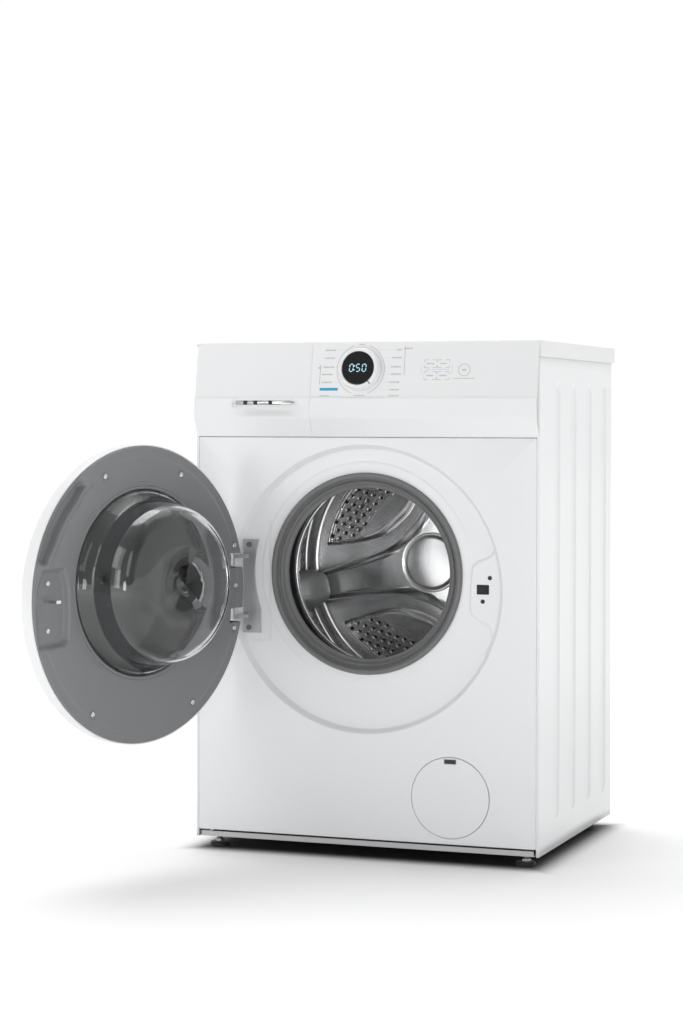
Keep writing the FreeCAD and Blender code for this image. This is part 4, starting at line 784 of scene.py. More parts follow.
def faceQuad(x0, z0, x1, z1):
    return [[x, float(faceY(z)) - inkLift, z] for x, z in ((x0, z0), (x1, z0), (x1, z1), (x0, z1))]


def faceStrip(path, width):
    # a thin printed line along a path of (x, z) on the leaning face
    p = np.array(path, float)
    along = headings(p)
    across = np.stack([-along[:, 1], along[:, 0]], -1) * width / 2
    edges = np.stack([p - across, p + across])
    return np.stack([edges[..., 0], faceY(edges[..., 1]) - inkLift, edges[..., 1]], -1)


def arcPath(centre, radius, start, end, steps):
    a = np.radians(np.linspace(start, end, steps))
    return np.stack([centre[0] + radius * np.cos(a), centre[1] + radius * np.sin(a)], -1)


def dashes(rng, x0, x1, z, height):
    # a row of short illegible marks that stands for a printed caption
    quads, x = [], x0
    while x < x1 - 0.8:
        w = min(rng.uniform(0.8, 1.9), x1 - x)
        h = height * rng.uniform(0.72, 1.0)
        quads.append(faceQuad(x, z - h / 2, x + w, z - h / 2 + h))
        x += w + 0.55
    return quads


rng = np.random.default_rng(7)
kx, kz = control["knobX"], control["knobZ"]
greyInk, paleInk, blueInk, skyInk = (Shape() for ink in range(4))
for start, end in ((-70, 70), (110, 250)):
    greyInk.grid(faceStrip(arcPath((kx, kz), 41.2, start, end, 72), 0.85))
greyQuads = []
for z, near, far in ((836, -31, -62), (823, -39, -63), (808, -41, -64), (796, -41, -66), (783, -40, -66),
                     (760.5, -31, -69)):
    greyQuads += dashes(rng, kx + far - 1, kx + far + 17, z, 2.6)
    paleInk.grid(faceStrip([(kx + far + 18, z), (kx + near, z)], 0.3))
for row, (z, near,
          far) in enumerate([(836, 31, 70), (823, 39, 71), (808, 41, 70), (796, 41, 70), (783, 40, 68),
                                      (770.5, 37, 69), (760.5, 31, 68)]):
    greyQuads += dashes(rng, kx + far - (17 if row else 9), kx + far, z, 2.6)
    paleInk.grid(faceStrip([(kx + near, z), (kx + far - (18 if row else 10), z)], 0.3))
greyQuads += dashes(rng, kx - 5, kx + 5, 847.0 - 1.6, 1.8) + dashes(rng, kx - 10, kx + 10, 761.2, 2.0)
greyQuads += dashes(rng, kx - 74, kx - 70, 807, 4.0) + dashes(rng, kx + 74, kx + 88, 838, 2.6)
greyInk.grid(faceStrip([(kx - 70.5, 812), (kx - 70.5, 780)], 1.0))
greyInk.grid(faceStrip([(kx + 75.5, 842), (kx + 75.5, 794)], 1.0))
blueInk.grid(faceStrip([(kx - 70, 771.6), (kx - 38, 771.6)], 4.6))
for x0 in (106, 128.2):
    for z0 in (786.8, 806.2):
        x1, z1 = x0 + 20.6, z0 + 12.8
        for path in ([(x0, z0 + 4), (x0, z0), (x0 + 7, z0)], [(x1 - 7, z0), (x1, z0), (x1, z0 + 4)],
                     [(x1, z1 - 4), (x1, z1), (x1 - 7, z1)], [(x0 + 7, z1), (x0, z1), (x0, z1 - 4)]):
            for a, b in zip(path[:-1], path[1:]):
                greyInk.grid(faceStrip([a, b], 0.75))
        greyQuads += dashes(rng, x0 + 4, x1 - 4, z0 + 6.6, 2.4)
skyInk.grid(faceStrip([(107, 802.9), (148, 802.9)], 0.55))
for middle in (180, 0):
    greyInk.grid(faceStrip(arcPath((127.4, 802.9), 26.5, middle - 16, middle + 16, 14), 0.4))
greyInk.grid(faceStrip(arcPath((173.8, 802.3), 9.7, 0, 360, 48), 0.9))
greyQuads += dashes(rng, 170.3, 177.3, 802.3, 3.4) + dashes(rng, 155, 192, 788.5, 1.5)
greyInk.add(*flatQuads(greyQuads))
for shape, name, material in ((greyInk, "marks", inkGrey), (paleInk, "lines", inkPale),
                              (blueInk, "pill", inkBlue),
                              (skyInk, "key_line", inkSky)):
    shape.made("printed_" + name, [material], "cabinet", "dark_display", facing=forwards)
print("printing made")

flap = {"radius": 65.8, "thickness": 2.4, "rounding": 0.9, "tabWidth": 21.8, "tabLow": 54.6, "tabHigh": 63.6}


def makeFlap():
    # a disc with a rounded edge; the slot for the fingertip is a pale lip round a flat black patch just
    # before the face, painted shade in place of the slot's depth
    f = flap
    centre = (frontPanel["flapX"], frontPanel["flapZ"])
    r, e = f["radius"], f["rounding"]
    t = np.radians(np.linspace(0, 90, 6))
    profile = [(front + f["thickness"], 0.01), (front + f["thickness"], r - 0.3),
               (front + f["thickness"] - 0.3, r)]
    profile += [(front + e - e * np.sin(a), r - e + e * np.cos(a)) for a in t]
    profile += [(front, r - e - 2), (front, 0.01)]
    Shape().rings(turned(profile, centre, 180)).made("flap_cover", [whiteEnamel], "flap", "white_plastic",
                                                     ("service_flap",))
    x0, x1 = centre[0] - f["tabWidth"] / 2, centre[0] + f["tabWidth"] / 2
    z0, z1 = centre[1] + f["tabLow"], centre[1] + f["tabHigh"]
    outline = softened([(x0, z0), (x1, z0), (x1, z1), (x0, z1)], 1.4)
    rings = ringed(outline, [(0, front + 0.5), (0, front - 0.3), (0.7, front - 0.3), (1.0, front - 0.1)])
    # the black fan that closes the slot is painted shade, not a recess
    Shape().rings(rings).fan(rings[-1], 1).made("flap_slot", [inkPale, blackPlastic], "flap", "white_plastic",
                                                facing=forwards)


makeFlap()

seal = {"wall": 1.6, "steps": 200,
        "profile": [(4, 166.5), (-3, 166.8), (-6.6, 164.6), (-6.8, 160.5), (-4.2, 157.6), (2.5, 156.6),
                    (4.0, 154.0), (0.4, 151.6), (2.4, 149.2), (7.5, 146.4), (10.2, 141.6), (13.2, 140.6),
                    (14.2, 143.4), (13.4, 149), (15.5, 155.5), (24, 157.2), (33, 156.4), (36.5, 160.5),
                    (31, 165.5), (33, 170), (46, 170.5), (54, 168.0), (58, 171.5), (71, 174.6)],
        "rounding": [0, 2.2, 1.6, 1.6, 1.4, 0.9, 1.0, 0.8, 1.0, 2.0, 1.4, 1.2, 1.2, 2.2, 3.0, 3.0, 1.8, 1.8,
                     2.0,
                     2.4, 3, 2, 2, 0]}


def closedWall(points, wall):
    # a sheet of even thickness: the profile, then the profile moved along its own normals, backwards
    p = np.array(points, float)
    return np.concatenate([p, (p - wall * inwards(p))[::-1]])


def makeSeal():
    # outer bead over the porthole edge, a deep fold, the sealing lip and the bellows back to the tub, as
    # (distance behind the dish floor, radius)
    path = softened(np.array(seal["profile"]) + (floorY, 0), seal["rounding"], closed=False)
    shape = Shape().loop(turned(closedWall(path, seal["wall"]), (0, axisZ), seal["steps"]))
    shape.made("porthole_seal", [sealRubber], "cabinet", "seal_rubber", ("door_seal",))


makeSeal()

drum = {"radius": 239.0, "mouth": 154.0, "front": front + 100, "back": front + 372, "sheet": 0.8,
        "holePitch": 15.5, "holeRadius": 2.1, "dimpleRadius": 5.0, "arm": 193.0}
drumBackY = drum["back"] - 3.8


def makeDrumShell():
    # rolled mouth, a flanged front ring, the round wall and the seam at the back, as one thin sheet
    d = drum
    y0, y1, r, m = d["front"], d["back"], d["radius"], d["mouth"]
    a = np.radians(np.linspace(110, -60, 9))
    curl = np.stack([y0 + 1.5 - 3.6 * np.sin(a), m + 3.4 - 3.4 * np.cos(a)], -1)
    path = softened([(y1 + 0.5, r), (y1 - 8, r), (y0 + 9, r), (y0 + 0.8, r - 8), (y0 + 0.8, m + 40),
                     (y0 + 3.5, m + 30), (y0 + 3.5, m + 16), (y0 - 1, m + 8)], [0, 0, 9, 5, 4, 3, 3, 0],
                    closed=False, steps=6)
    wall = closedWall(np.concatenate([path, curl]), d["sheet"])
    Shape().loop(turned(wall, (0, axisZ), 200)).made("drum_wall", [drumSteel], "drum", "stainless",
                                                     ("drum_shell",))


def sectorAngle(x, z):
    # angle from the middle of the nearest of the three sectors, in degrees, -60 to 60
    turn = np.degrees(np.arctan2(z, x)) - (drum["arm"] + 60)
    return (turn + 60) % 120 - 60


def drumHeight(x, z):
    # the pressed back: a domed boss, three arms that widen into the middle, the channel beside them and
    # a raised island in each sector, whose outer part is a little lower and perforated
    r = np.hypot(x, z)
    a = sectorAngle(x, z)
    share = np.abs(a) / 60
    star = 56 / np.maximum(1 - 0.887 * share ** 2.12, 0.05)
    near = 97 / np.maximum(1 - 1.69 * share ** 2.67, 0.08)
    slope = np.maximum(np.cos(np.radians(a)) * 0.9, 0.42)
    arms = ramp((star - r) * slope, -15, 3) * ramp(219 - r, -6, 16)
    ridge = np.exp(-(((star - r) * slope - 1.5) / 3.2) ** 2) * ramp(r, 60, 84) * ramp(206 - r, 0, 14)
    inner = np.minimum((r - near) * slope, (39.5 - np.abs(a)) * np.radians(1) * r)
    island = np.minimum(inner, 203 - r)
    raised = ramp(island, -2.5, 5.0)
    bead = np.exp(-((island - 4.6) / 2.6) ** 2)
    lowered = ramp(island, 7.2, 9.4) * ramp(r, 134, 137)
    height = 13.0 * arms + 2.6 * ridge + 11.0 * raised + 1.6 * bead - 2.2 * lowered
    boss = (ramp(52 - r, 0, 5) * 4.2 - 4.6 * np.exp(-((r - 49) / 2.0) ** 2)
            + 1.6 * (1 - (np.minimum(r, 47) / 47) ** 2))
    return height + boss * (r < 60) + 15.5 * ramp(r, 216, 239.5) ** 1.5


def makeDrumBack():
    radius = np.unique(np.concatenate([np.linspace(1, 60, 34), np.linspace(60, 215, 132),
                                       np.linspace(215, 238.6, 22)]))[:, None]
    x, z = radius * np.cos(circle(500)), radius * np.sin(circle(500))
    rings = np.stack([x, drumBackY - drumHeight(x, z), z + axisZ], -1)
    Shape().rings(rings).fan(rings[0]).made("drum_back_pressing", [backSteel], "drum", "stainless",
                                            ("drum_back",),
                                            facing=forwards, wall=drum["sheet"])


def hexDistance(book, u, v, pitch):
    # distance to the nearest point of a triangular grid: the smaller of the distances to two
    # rectangular grids, one moved by half a cell
    best = None
    for shift in (0, 0.5):
        du = book.wrapped(u + shift * pitch, pitch / 2)
        dv = book.wrapped(v + shift * pitch * 1.732, pitch * 0.866)
        away = (du * du + dv * dv).maths("SQRT")
        best = away if best is None else best.maths("MINIMUM", away)
    return best


def perforated(name, mode, level, rough):
    # bright sheet with rolled dimples, each with a hole in its middle painted near-black as painted shade
    d = drum
    sheet = Finish(name, Metallic=1.0)
    x, y, z = sheet.axes()
    z = z - axisZ * mm
    r = (x * x + z * z).maths("SQRT")
    turn = z.maths("ARCTAN2", x)
    if mode == "wall":
        u, v = turn * (d["radius"] * mm), y
        band = (r.maths("GREATER_THAN", (d["radius"] - 3) * mm)
                * y.maths("GREATER_THAN", (d["front"] + 18) * mm) * y.maths("LESS_THAN",
                                                                            (d["back"] - 26) * mm))
        pitch = 2 * math.pi * d["radius"] * mm / round(2 * math.pi * d["radius"] / d["holePitch"])
    else:
        local = sheet.wrapped(turn - math.radians(d["arm"] + 60), math.radians(120) / 2)
        u, v = r * local.maths("SINE"), r * local.maths("COSINE")
        pitch = d["holePitch"] * mm
        share = local.maths("ABSOLUTE") / math.radians(60)
        near = (0.097 / (1 - 1.69 * share.maths("POWER", 2.67)).maths("MAXIMUM", 0.08))
        slope = (local.maths("COSINE") * 0.9).maths("MAXIMUM", 0.42)
        edge = ((r - near) * slope).maths("MINIMUM", (math.radians(39.5) - local.maths("ABSOLUTE")) * r)
        band = (r.maths("GREATER_THAN", 0.139) * r.maths("LESS_THAN", 0.197) * edge.maths("GREATER_THAN",
                                                                                          0.0125)
                * local.maths("ABSOLUTE").maths("LESS_THAN", math.radians(37)))
    away = hexDistance(sheet, u, v, pitch)
    radius = d["holeRadius"] * mm
    bowl = sheet.smooth(away, radius * 0.7, d["dimpleRadius"] * mm, 0.0, 1.0)
    # the holes are not cut: their near-black colour is painted shade, the dark seen through the sheet
    hole = sheet.smooth(away, radius * 0.92, radius * 1.08, 1.0, 0.0) * band
    streak, broad = sheet.noise(420, 3, 0.6, (1, 0.25, 1)), sheet.noise(9, 3)
    steel = sheet.mix(broad, grey(level * 0.9, 0.01), grey(level, 0.01))
    sheet.set(Base_Color=sheet.mix(hole, steel, grey(0.004)), Metallic=1 - hole,
              Roughness=streak * rough * 0.6 + rough * 0.7 + hole * 0.5)
    sheet.bump(streak * 0.001 + (1 - band) + band * bowl, 1.0, 0.0017)
    return sheet.material


drumSteel = perforated("drum_steel", "wall", 0.76, 0.2)
backSteel = perforated("drum_back_steel", "back", 0.86, 0.2)
makeDrumShell()
makeDrumBack()

lifter = {"foot": 36.0, "rise": 47.0, "front": front + 132, "back": front + 356}


def makeLifters():
    # three paddles: a rounded section (across, rise) whose rise falls off at both ends
    l = lifter
    s = np.linspace(-1, 1, 41)
    across = l["foot"] * np.sign(s) * np.abs(s) ** 0.8
    hump = np.cos(0.5 * math.pi * np.abs(s) ** 1.5) ** 0.62
    t = np.linspace(0, 1, 60)[:, None]
    ends = ramp(t, 0, 0.28) ** 0.7 * (1 - ramp(t, 0.86, 1.0) ** 2)
    wave = 1 + 0.07 * np.sin(t * math.pi * 3)
    rise = l["rise"] * hump * ends * wave
    width = across[None] * (0.72 + 0.28 * ends)
    y = l["front"] + (l["back"] - l["front"]) * t + 0 * s
    ribs = (0.5 * np.maximum(np.sin(t * math.pi * 52), 0) * ramp(np.abs(s), 0.3, 0.42)
            * ramp(-np.abs(s), -0.9, -0.8) * ends)
    reach = np.sqrt(drum["radius"] ** 2 - width ** 2) - 0.4 - rise - ribs
    shape = Shape()
    for i in range(3):
        a = math.radians(drum["arm"] + 120 * i)
        x = reach * math.cos(a) - width * math.sin(a)
        z = reach * math.sin(a) + width * math.cos(a)
        skin = np.stack([x, y, z + axisZ], -1)
        shape.grid(skin).fan(skin[0]).fan(skin[-1])
        shape.grid(np.stack([skin[:, -1], skin[:, 0]], 1))
    shape.made("drum_paddles", [lifterGrey], "drum", "lifter_grey", ("drum_lifters",), weld=0.02)


makeLifters()
print("drum made")

door = {"reach": 227.0, "face": 22.0, "radius": 236.0, "openingRadius": 149.0, "openingRise": 19.0,
        "wall": 2.0,
        "gripFrom": 15.0, "gripTo": 54.0, "gripInner": 211.0, "gripDepth": 14.0, "pocketDepth": 9.5,
        "outer": -18.0, "open": 110.0, "shellRadius": 238.6, "shellWall": 2.2, "shoulder": 40.0,
        "screws": [(85, 189), (-85, 189), (112, -181), (-112, -181), (-211, 70), (-215, 4), (-211, -66)],
        "hookScrews": [(426, 27), (426, -46)], "clips": (90, 44, 134, -49, 222)}


def inDoor(points):
    # from the door's own place, hinge line on the origin and closed, to the open door
    a = math.radians(-door["open"])
    p = np.asarray(points, float)
    x, y = p[..., 0], p[..., 1]
    return np.stack([x * math.cos(a) - y * math.sin(a) + hinge[0],
                     x * math.sin(a) + y * math.cos(a) + hinge[1],
                     p[..., 2] + hinge[2]], -1)


def shiftedRings(profile, steps):
    # like turned, but each profile point is (y, radius, height of its centre)
    p = np.asarray(profile, float)
    a = circle(steps)[None]
    return np.stack([door["reach"] + p[:, 1:2] * np.cos(a), p[:, 0:1] + 0 * a,
                     p[:, 2:3] + p[:, 1:2] * np.sin(a)], -1)


def blendRings(count, rise, inner, outer):
    # radii and centre heights from the off-centre opening circle to the rim circle
    s = np.linspace(0, 1, count)
    return inner + (outer - inner) * s, rise * (1 - s)


pocketOutline = [(391, -62), (389, -20), (391, 20), (400, 48), (441, 48), (452, 20), (455, -20), (449, -74),
                 (400, -70)]


def frameSink(x, z):
    # how far the inner face sinks: the grip step at the rim, the hook pocket, the outer border and the
    # clip marks round the opening
    d = door
    dx = x - d["reach"]
    r = np.hypot(dx, z)
    a = np.degrees(np.arctan2(z, dx))
    inGrip = ramp(a, d["gripFrom"] - 1.2, d["gripFrom"] + 1.6) * ramp(-a, -d["gripTo"] - 1.2,
                                                                      -d["gripTo"] + 1.6)
    wave = 5 * ramp(a, d["gripTo"] - 9, d["gripTo"] - 1) + 5 * ramp(-a, -d["gripFrom"] - 9,
                                                                    -d["gripFrom"] - 1)
    grip = ramp(r, d["gripInner"] + wave - 2.6, d["gripInner"] + wave + 3.4) * inGrip
    bead = np.exp(-((r - d["gripInner"] - wave + 5.0) / 2.2) ** 2) * ramp(a, d["gripFrom"] - 5, d["gripFrom"])
    bead = bead * ramp(-a, -d["gripTo"] - 5, -d["gripTo"])
    ledge = ramp(r, 222, 226) * inGrip * ramp(-r, -236, -232)
    pocket = ramp(signedDistance(pocketOutline, x, z), -3, 6)
    border = ramp(r, 216.5, 222.5) * (1 - inGrip)
    sink = (d["gripDepth"] * grip - 1.4 * bead - 3.6 * ledge + d["pocketDepth"] * pocket
            + 1.5 * border * (1 - pocket))
    sink = np.minimum(sink, d["gripDepth"])
    gz = z - d["openingRise"]
    gr, ga = np.hypot(dx, gz), np.degrees(np.arctan2(gz, dx))
    for middle in d["clips"]:
        turn = (ga - middle + 180) % 360 - 180
        mark = ramp(3.6 - np.abs(turn), -0.3, 0.3) * ramp(2.6 - np.abs(gr - 158), -0.6, 0.6)
        core = ramp(3.0 - np.abs(turn), -0.3, 0.3) * ramp(1.5 - np.abs(gr - 158), -0.6, 0.6)
        sink = sink + 0.9 * mark - 0.8 * core
    for sx, sz in d["screws"]:
        away = np.hypot(dx - sx, z - sz)
        sink = sink + 1.1 * ramp(7.6 - away, -0.6, 0.6) - 1.5 * np.exp(-((away - 8.4) / 0.9) ** 2) * 0.4
    return sink + 1.1 * np.exp(-((gr - d["openingRadius"] - 4.2) / 1.0) ** 2)


def cutSlots(piece, slots):
    # cuts slots (far x, low z, high z in the door's own place) from its hinge edge through a sheet, before
    # the sheet gets its wall
    work = bmesh.new()
    work.from_mesh(piece.data)
    a = math.radians(-door["open"])
    alongX = Vector((math.cos(a), math.sin(a), 0))
    origin = Vector(hinge) * mm
    for x1, z0, z1 in slots:
        for step, normal in ((alongX * x1, alongX), (Vector((0, 0, z0)), Vector((0, 0, 1))),
                             (Vector((0, 0, z1)), Vector((0, 0, 1)))):
            middles = [(face, face.calc_center_median() - origin) for face in work.faces]
            near = [face for face, middle in middles if abs(middle.z - (z0 + z1) / 2 * mm) < 0.04
                    and middle.dot(alongX) < (x1 + 20) * mm]
            geometry = near + list({e for f in near for e in f.edges})
            geometry += list({v for f in near for v in f.verts})
            bmesh.ops.bisect_plane(work, geom=geometry, plane_co=origin + step * mm, plane_no=normal,
                                   dist=1e-7)
        middles = [(face, face.calc_center_median() - origin) for face in work.faces]
        gone = [face for face,
                middle in middles if middle.dot(alongX) < x1 * mm and z0 * mm < middle.z < z1 * mm]
        bmesh.ops.delete(work, geom=gone, context="FACES")
    work.to_mesh(piece.data)
    work.free()


hingeSlots = [(28, -57.5, -33.5), (28, 33.5, 57.5)]


def makeDoorFrame():
    d = door
    f, r, rise, openR = d["face"], d["radius"], d["openingRise"], d["openingRadius"]
    radii, rises = blendRings(92, rise, openR, r - 2.4)
    lip = [(f - 6.5, openR - 0.2, rise), (f - 1.6, openR - 0.2, rise), (f - 0.5, openR + 0.3, rise),
           (f, openR + 1.6, rise)]
    flat = [(f, a, h) for a, h in zip(radii, rises) if a > openR + 2.4]
    t = np.radians(np.linspace(0, 90, 7))[1:]
    rim = [(f - 2.4 + 2.4 * math.cos(a), r - 2.4 + 2.4 * math.sin(a), 0) for a in t]
    rim += [(f - 7, r, 0), (5.5, r, 0)]
    rings = shiftedRings(lip + flat + rim, 640)
    sink = frameSink(rings[..., 0], rings[..., 2])
    sink[:len(lip)] = 0
    sink[-2:] = 0
    rings[..., 1] -= sink
    rings[-2:, :, 1] = np.minimum(rings[-2:, :, 1], rings[-3:-2, :, 1] - 0.5)
    piece = Shape().rings(rings).made("door_inner_frame", [doorGrey], "door", "door_grey", ("door_frame",),
                                      move=inDoor, facing=inDoor([0, 1, 0]) - inDoor([0, 0, 0]))
    cutSlots(piece, hingeSlots)
    thickened(piece, d["wall"])


def makeDoorShell():
    # the white cover: a flat ring round the window, a shoulder that follows 1 - sqrt(1 - v^2.6) and a
    # straight rim
    d = door
    o, r, wide = d["outer"], d["shellRadius"], d["shoulder"]
    rise, openR = d["openingRise"], d["openingRadius"]
    radii, rises = blendRings(30, rise, openR + 1.6, r - wide)
    face = [(o + 3.0, openR + 1.6, rise), (o + 0.8, openR + 1.6, rise), (o + 0.1, openR + 2.4, rise)]
    face += [(o, a, h) for a, h in zip(radii[1:], rises[1:])]
    s = np.linspace(0, 1, 26)[1:]
    shoulder = [(o + 18 * (1 - math.sqrt(max(0, 1 - v ** 2.6))), r - wide + wide * v, 0) for v in s]
    rim = [(4, r, 0), (12, r, 0), (17.2, r - 0.2, 0), (18.0, r - 1.0, 0), (18.0, r - 2.2, 0)]
    shape = Shape().rings(shiftedRings(face + shoulder + rim, 320))
    piece = shape.made("door_outer_cover", [whitePlastic, blackPlastic], "door", "white_plastic",
                       ("door_outer_shell",), move=inDoor, facing=inDoor([0, -1, 0]) - inDoor([0, 0, 0]))
    cutSlots(piece, hingeSlots)
    # the wall's inner side, inside the closed door, is black plastic: painted shade for the space between
    # cover and frame
    thickened(piece, d["shellWall"]).material_offset = 1


def makeGlass():
    # a thick pressed bowl: a flange in the frame, a waist, straight walls and a slanted round bottom
    d = door
    f, r, b = d["face"], 148.6, 131.0
    end = f + 91
    outside = [(f - 6.8, r + 6), (f - 3.6, r + 6), (f - 3.6, r - 0.2), (f + 2, r - 0.8), (f + 9, b + 8),
               (f + 19, b + 0.6), (end - 34, b - 4), (end - 18, b - 9),
               (end - 8, b - 20), (end - 2.4, b - 52), (end, 0.01)]
    inside = [(end - 4.2, 0.01), (end - 6.6, b - 53), (end - 12.4, b - 23.5), (end - 21, b - 13.8),
              (end - 35, b - 8.4),
              (f + 18, b - 3.8), (f + 7, b + 3.6), (f - 2, r - 5.6), (f - 6.8, r - 4)]
    outer = softened(outside, [0.6, 0.6, 1, 4, 9, 12, 14, 10, 12, 30, 0], closed=False, steps=9)
    inner = softened(inside, [0, 30, 12, 10, 14, 12, 9, 4, 0.6], closed=False, steps=9)
    profile = np.concatenate([outer, inner])
    rise = np.full((len(profile), 1), d["openingRise"])
    shape = Shape().loop(shiftedRings(np.hstack([profile, rise]), 192))
    shape.made("door_bowl", [clearGlass], "door", "clear_glass", ("door_glass",), move=inDoor)


def makeWindow():
    # a smoked disc set behind the white cover, gently domed
    d = door
    r = d["openingRadius"] + 9.5
    s = np.linspace(0, 1, 24)
    outside = [(-14.9 + 1.2 * v ** 2, max(0.01, r * v)) for v in s]
    profile = outside + [(-12.9, r), (-12.1, r - 0.8), (-12.1, 0.01)]
    rings = shiftedRings([(y, a, d["openingRise"]) for y, a in profile], 160)
    Shape().rings(rings).made("door_smoked_window", [smokedGlass], "door", "smoked_window", ("door_window",),
                              move=inDoor)


def makeDoorScrews(radius=4.3, height=1.8):
    # pan heads: a domed profile with a cross recess pressed into it
    r = np.linspace(0, 1, 13)
    a = circle(32)
    dome = height * (1 - 0.45 * r[:-1] ** 3)
    rr = np.concatenate([r, [1.0]])[:, None] * radius
    dome = np.concatenate([dome, [height * 0.5, 0]])[:, None]
    x, z = rr * np.cos(a), rr * np.sin(a)
    cross = np.maximum(ramp(0.55 - np.abs(x), -0.25, 0.25) * ramp(2.3 - np.abs(z), -0.3, 0.3),
                       ramp(0.55 - np.abs(z), -0.25, 0.25) * ramp(2.3 - np.abs(x), -0.3, 0.3))
    shape = Shape()
    spots = [(door["reach"] + sx, door["face"] - 1.0, sz) for sx, sz in door["screws"]]
    for sx, sy, sz in spots + [(sx, 13.0, sz) for sx, sz in door["hookScrews"]]:
        rings = np.stack([x + sx, sy + dome - 0.8 * cross, z + sz], -1)
        shape.rings(rings).fan(rings[-1])
    shape.made("door_screw_heads", [brightSteel], "door", "zinc_steel", ("door_screws",), move=inDoor)


makeDoorFrame()
makeDoorShell()
makeGlass()
makeWindow()
makeDoorScrews()
print("door made")

fitting = {"stud": 5.0, "pitch": 1.25, "studFoot": 12.5, "studTop": 45.8,
           "disc": [(0, 0.01), (0, 14.4), (1.2, 15.9), (6.4, 15.9), (8, 14.2), (8, 0.01)],
           "hexagon": [(7.8, 0.01), (7.8, 7.6), (8.4, 8.2), (12.2, 8.2), (12.8, 7.6), (12.8, 0.01)]}


def makeFoot(name, body, node):
    # rubber disc with a chamfered tread, a hexagon above it and a threaded stud:
    # the stud's radius follows r + 0.35 sin(2 pi z / pitch)
    low, high = boxOf(node)
    cx, cy = (low[0] + high[0]) / 2, (low[1] + high[1]) / 2
    f = fitting
    shape = Shape()

    def upright(z, radius, a, material=0):
        # profiles of (z, radius) carried round the foot's own axis
        shape.rings(np.stack([cx + radius * np.cos(a), cy + radius * np.sin(a), z + 0 * a], -1), material)

    disc = softened(f["disc"], [0, 0.8, 0.6, 0.6, 1, 0], closed=False, steps=4)
    z, a = disc[:, 0:1], circle(96)
    upright(z, disc[:, 1:2] * (1 - 0.018 * (np.cos(a * 32) > 0.3) * ((z > 1.5) & (z < 6.3))), a)
    h = np.linspace(f["studFoot"], f["studTop"], 240)
    stud = np.concatenate([[0.01], f["stud"] - 0.35 + 0.35 * np.sin(2 * np.pi * h / f["pitch"]), [0.01]])
    upright(np.concatenate([h[:1], h, h[-1:]])[:, None], stud[:, None], circle(28), 1)
    hexagon = np.array(f["hexagon"])
    upright(hexagon[:, 0:1], hexagon[:, 1:2], circle(6), 1)
    shape.made(name, [blackRubber, zincSteel], body, "foot_rubber", (node,), sharp=40)


for short, node in (("fl", "foot_front_left"), ("fr", "foot_front_right"), ("rl", "foot_rear_left"),
                    ("rr", "foot_rear_right")):
    makeFoot("foot_pad_" + short, "foot_" + short, node)


spring = {"turns": 26, "radius": 9.2, "wire": 1.7, "inset": 11, "gap": 2}


def makeSprings():
    # two coils: x = r cos(t), y = r sin(t), z rises evenly, with straight eyes at both ends; rings of the
    # wire's radius follow that path
    low, high = boxOf("suspension_springs")
    c = spring
    shape = Shape()
    for sign in (-1, 1):
        cx, cy = sign * (high[0] - c["inset"]), (low[1] + high[1]) / 2
        t = np.linspace(0, 1, 640)
        body = ramp(t, 0.05, 0.1) * ramp(-t, -0.95, -0.9)
        turn = t * 2 * np.pi * c["turns"]
        z = low[2] + c["gap"] + (high[2] - low[2] - 2 * c["gap"]) * t
        path = np.stack([cx + c["radius"] * body * np.cos(turn), cy + c["radius"] * body * np.sin(turn), z],
                        -1)
        along = headings(path)
        side = np.cross(along, np.array([0.0, 0.0, 1.0]))
        bad = np.linalg.norm(side, axis=1) < 1e-3
        side[bad] = np.cross(along[bad], np.array([0.0, 1.0, 0.0]))
        side /= np.linalg.norm(side, axis=1, keepdims=True)
        up = np.cross(side, along)
        a = circle(8)[None, :, None]
        rings = path[:, None] + c["wire"] * (np.cos(a) * side[:, None] + np.sin(a) * up[:, None])
        shape.rings(rings).fan(rings[0]).fan(rings[-1])
    shape.made("coil_springs", [darkSteel], "cabinet", "spring_steel", ("suspension_springs",))


makeSprings()
print("feet and springs made")

# finishes for the pieces that keep the shape they have in the design
finishes = [(zincPaint, "rear_panel rear_access_cover base_plate"),
            (trayPlastic, "detergent_drawer drawer_housing"),
            (bluePlastic, "siphon_cap"), (whiteNylon, "inlet_valve pump_housing pump_filter"),
            (blackPlastic, "cord_gland drain_spigot pump_impeller door_lock"), (tubPlastic,
                                                                                "tub_front tub_rear"),
            (brightSteel, "heater drum_bearings drum_shaft damper_rods hinge_pins door_hook"),
            (concrete, "counterweights"), (castAluminium, "drum_spider drum_pulley"),
            (zincSteel, "top_crossbar pulley_bolt foot_lock_nuts"), (blackRubber, "drive_belt sump_hose"),
            (motorPaint, "motor_housing damper_cylinders"), (darkSteel, "motor_rotor panel_screws"),
            (boardGreen, "control_board"), (hingeGrey, "hinge_bracket hinge_arm")]
for finish, nodes in finishes:
    for node in nodes.split():
        piece = frame["nodes"][node]
        if not piece.material_slots:
            piece.data.materials.append(finish)
        for slot in piece.material_slots:
            slot.material = finish

studio = {"floor": 30.0, "worldFront": 0.40, "worldBack": 1.02, "sun": 0.72, "sunTurn": (-16, -14),
          "sunSize": 35}
# soft lights: place, target, width, height (metres) and power
lights = {"key_left": ((-2.4, -3.0, 2.6), (0, -0.2, 0.5), 1.8, 1.8, 19.0),
          "fill_front": ((1.5, -3.4, 1.9), (0, 0, 0.45), 0.7, 1.8, 5.0),
          "top": ((0.1, 0.3, 3.2), (0, 0, 0.6), 2.4, 2.0, 12.0),
          "low_front": ((0.9, -3.7, 0.4), (-0.05, 0.1, 0.42), 1.0, 0.6, 11.0),
          "drum_glow": ((-1.5, -3.4, 0.9), (0.05, 0.1, 0.46), 0.8, 1.3, 9.0),
          "side_right": ((3.2, -0.8, 1.5), (0.2, 0, 0.45), 1.6, 2.2, 1.0)}


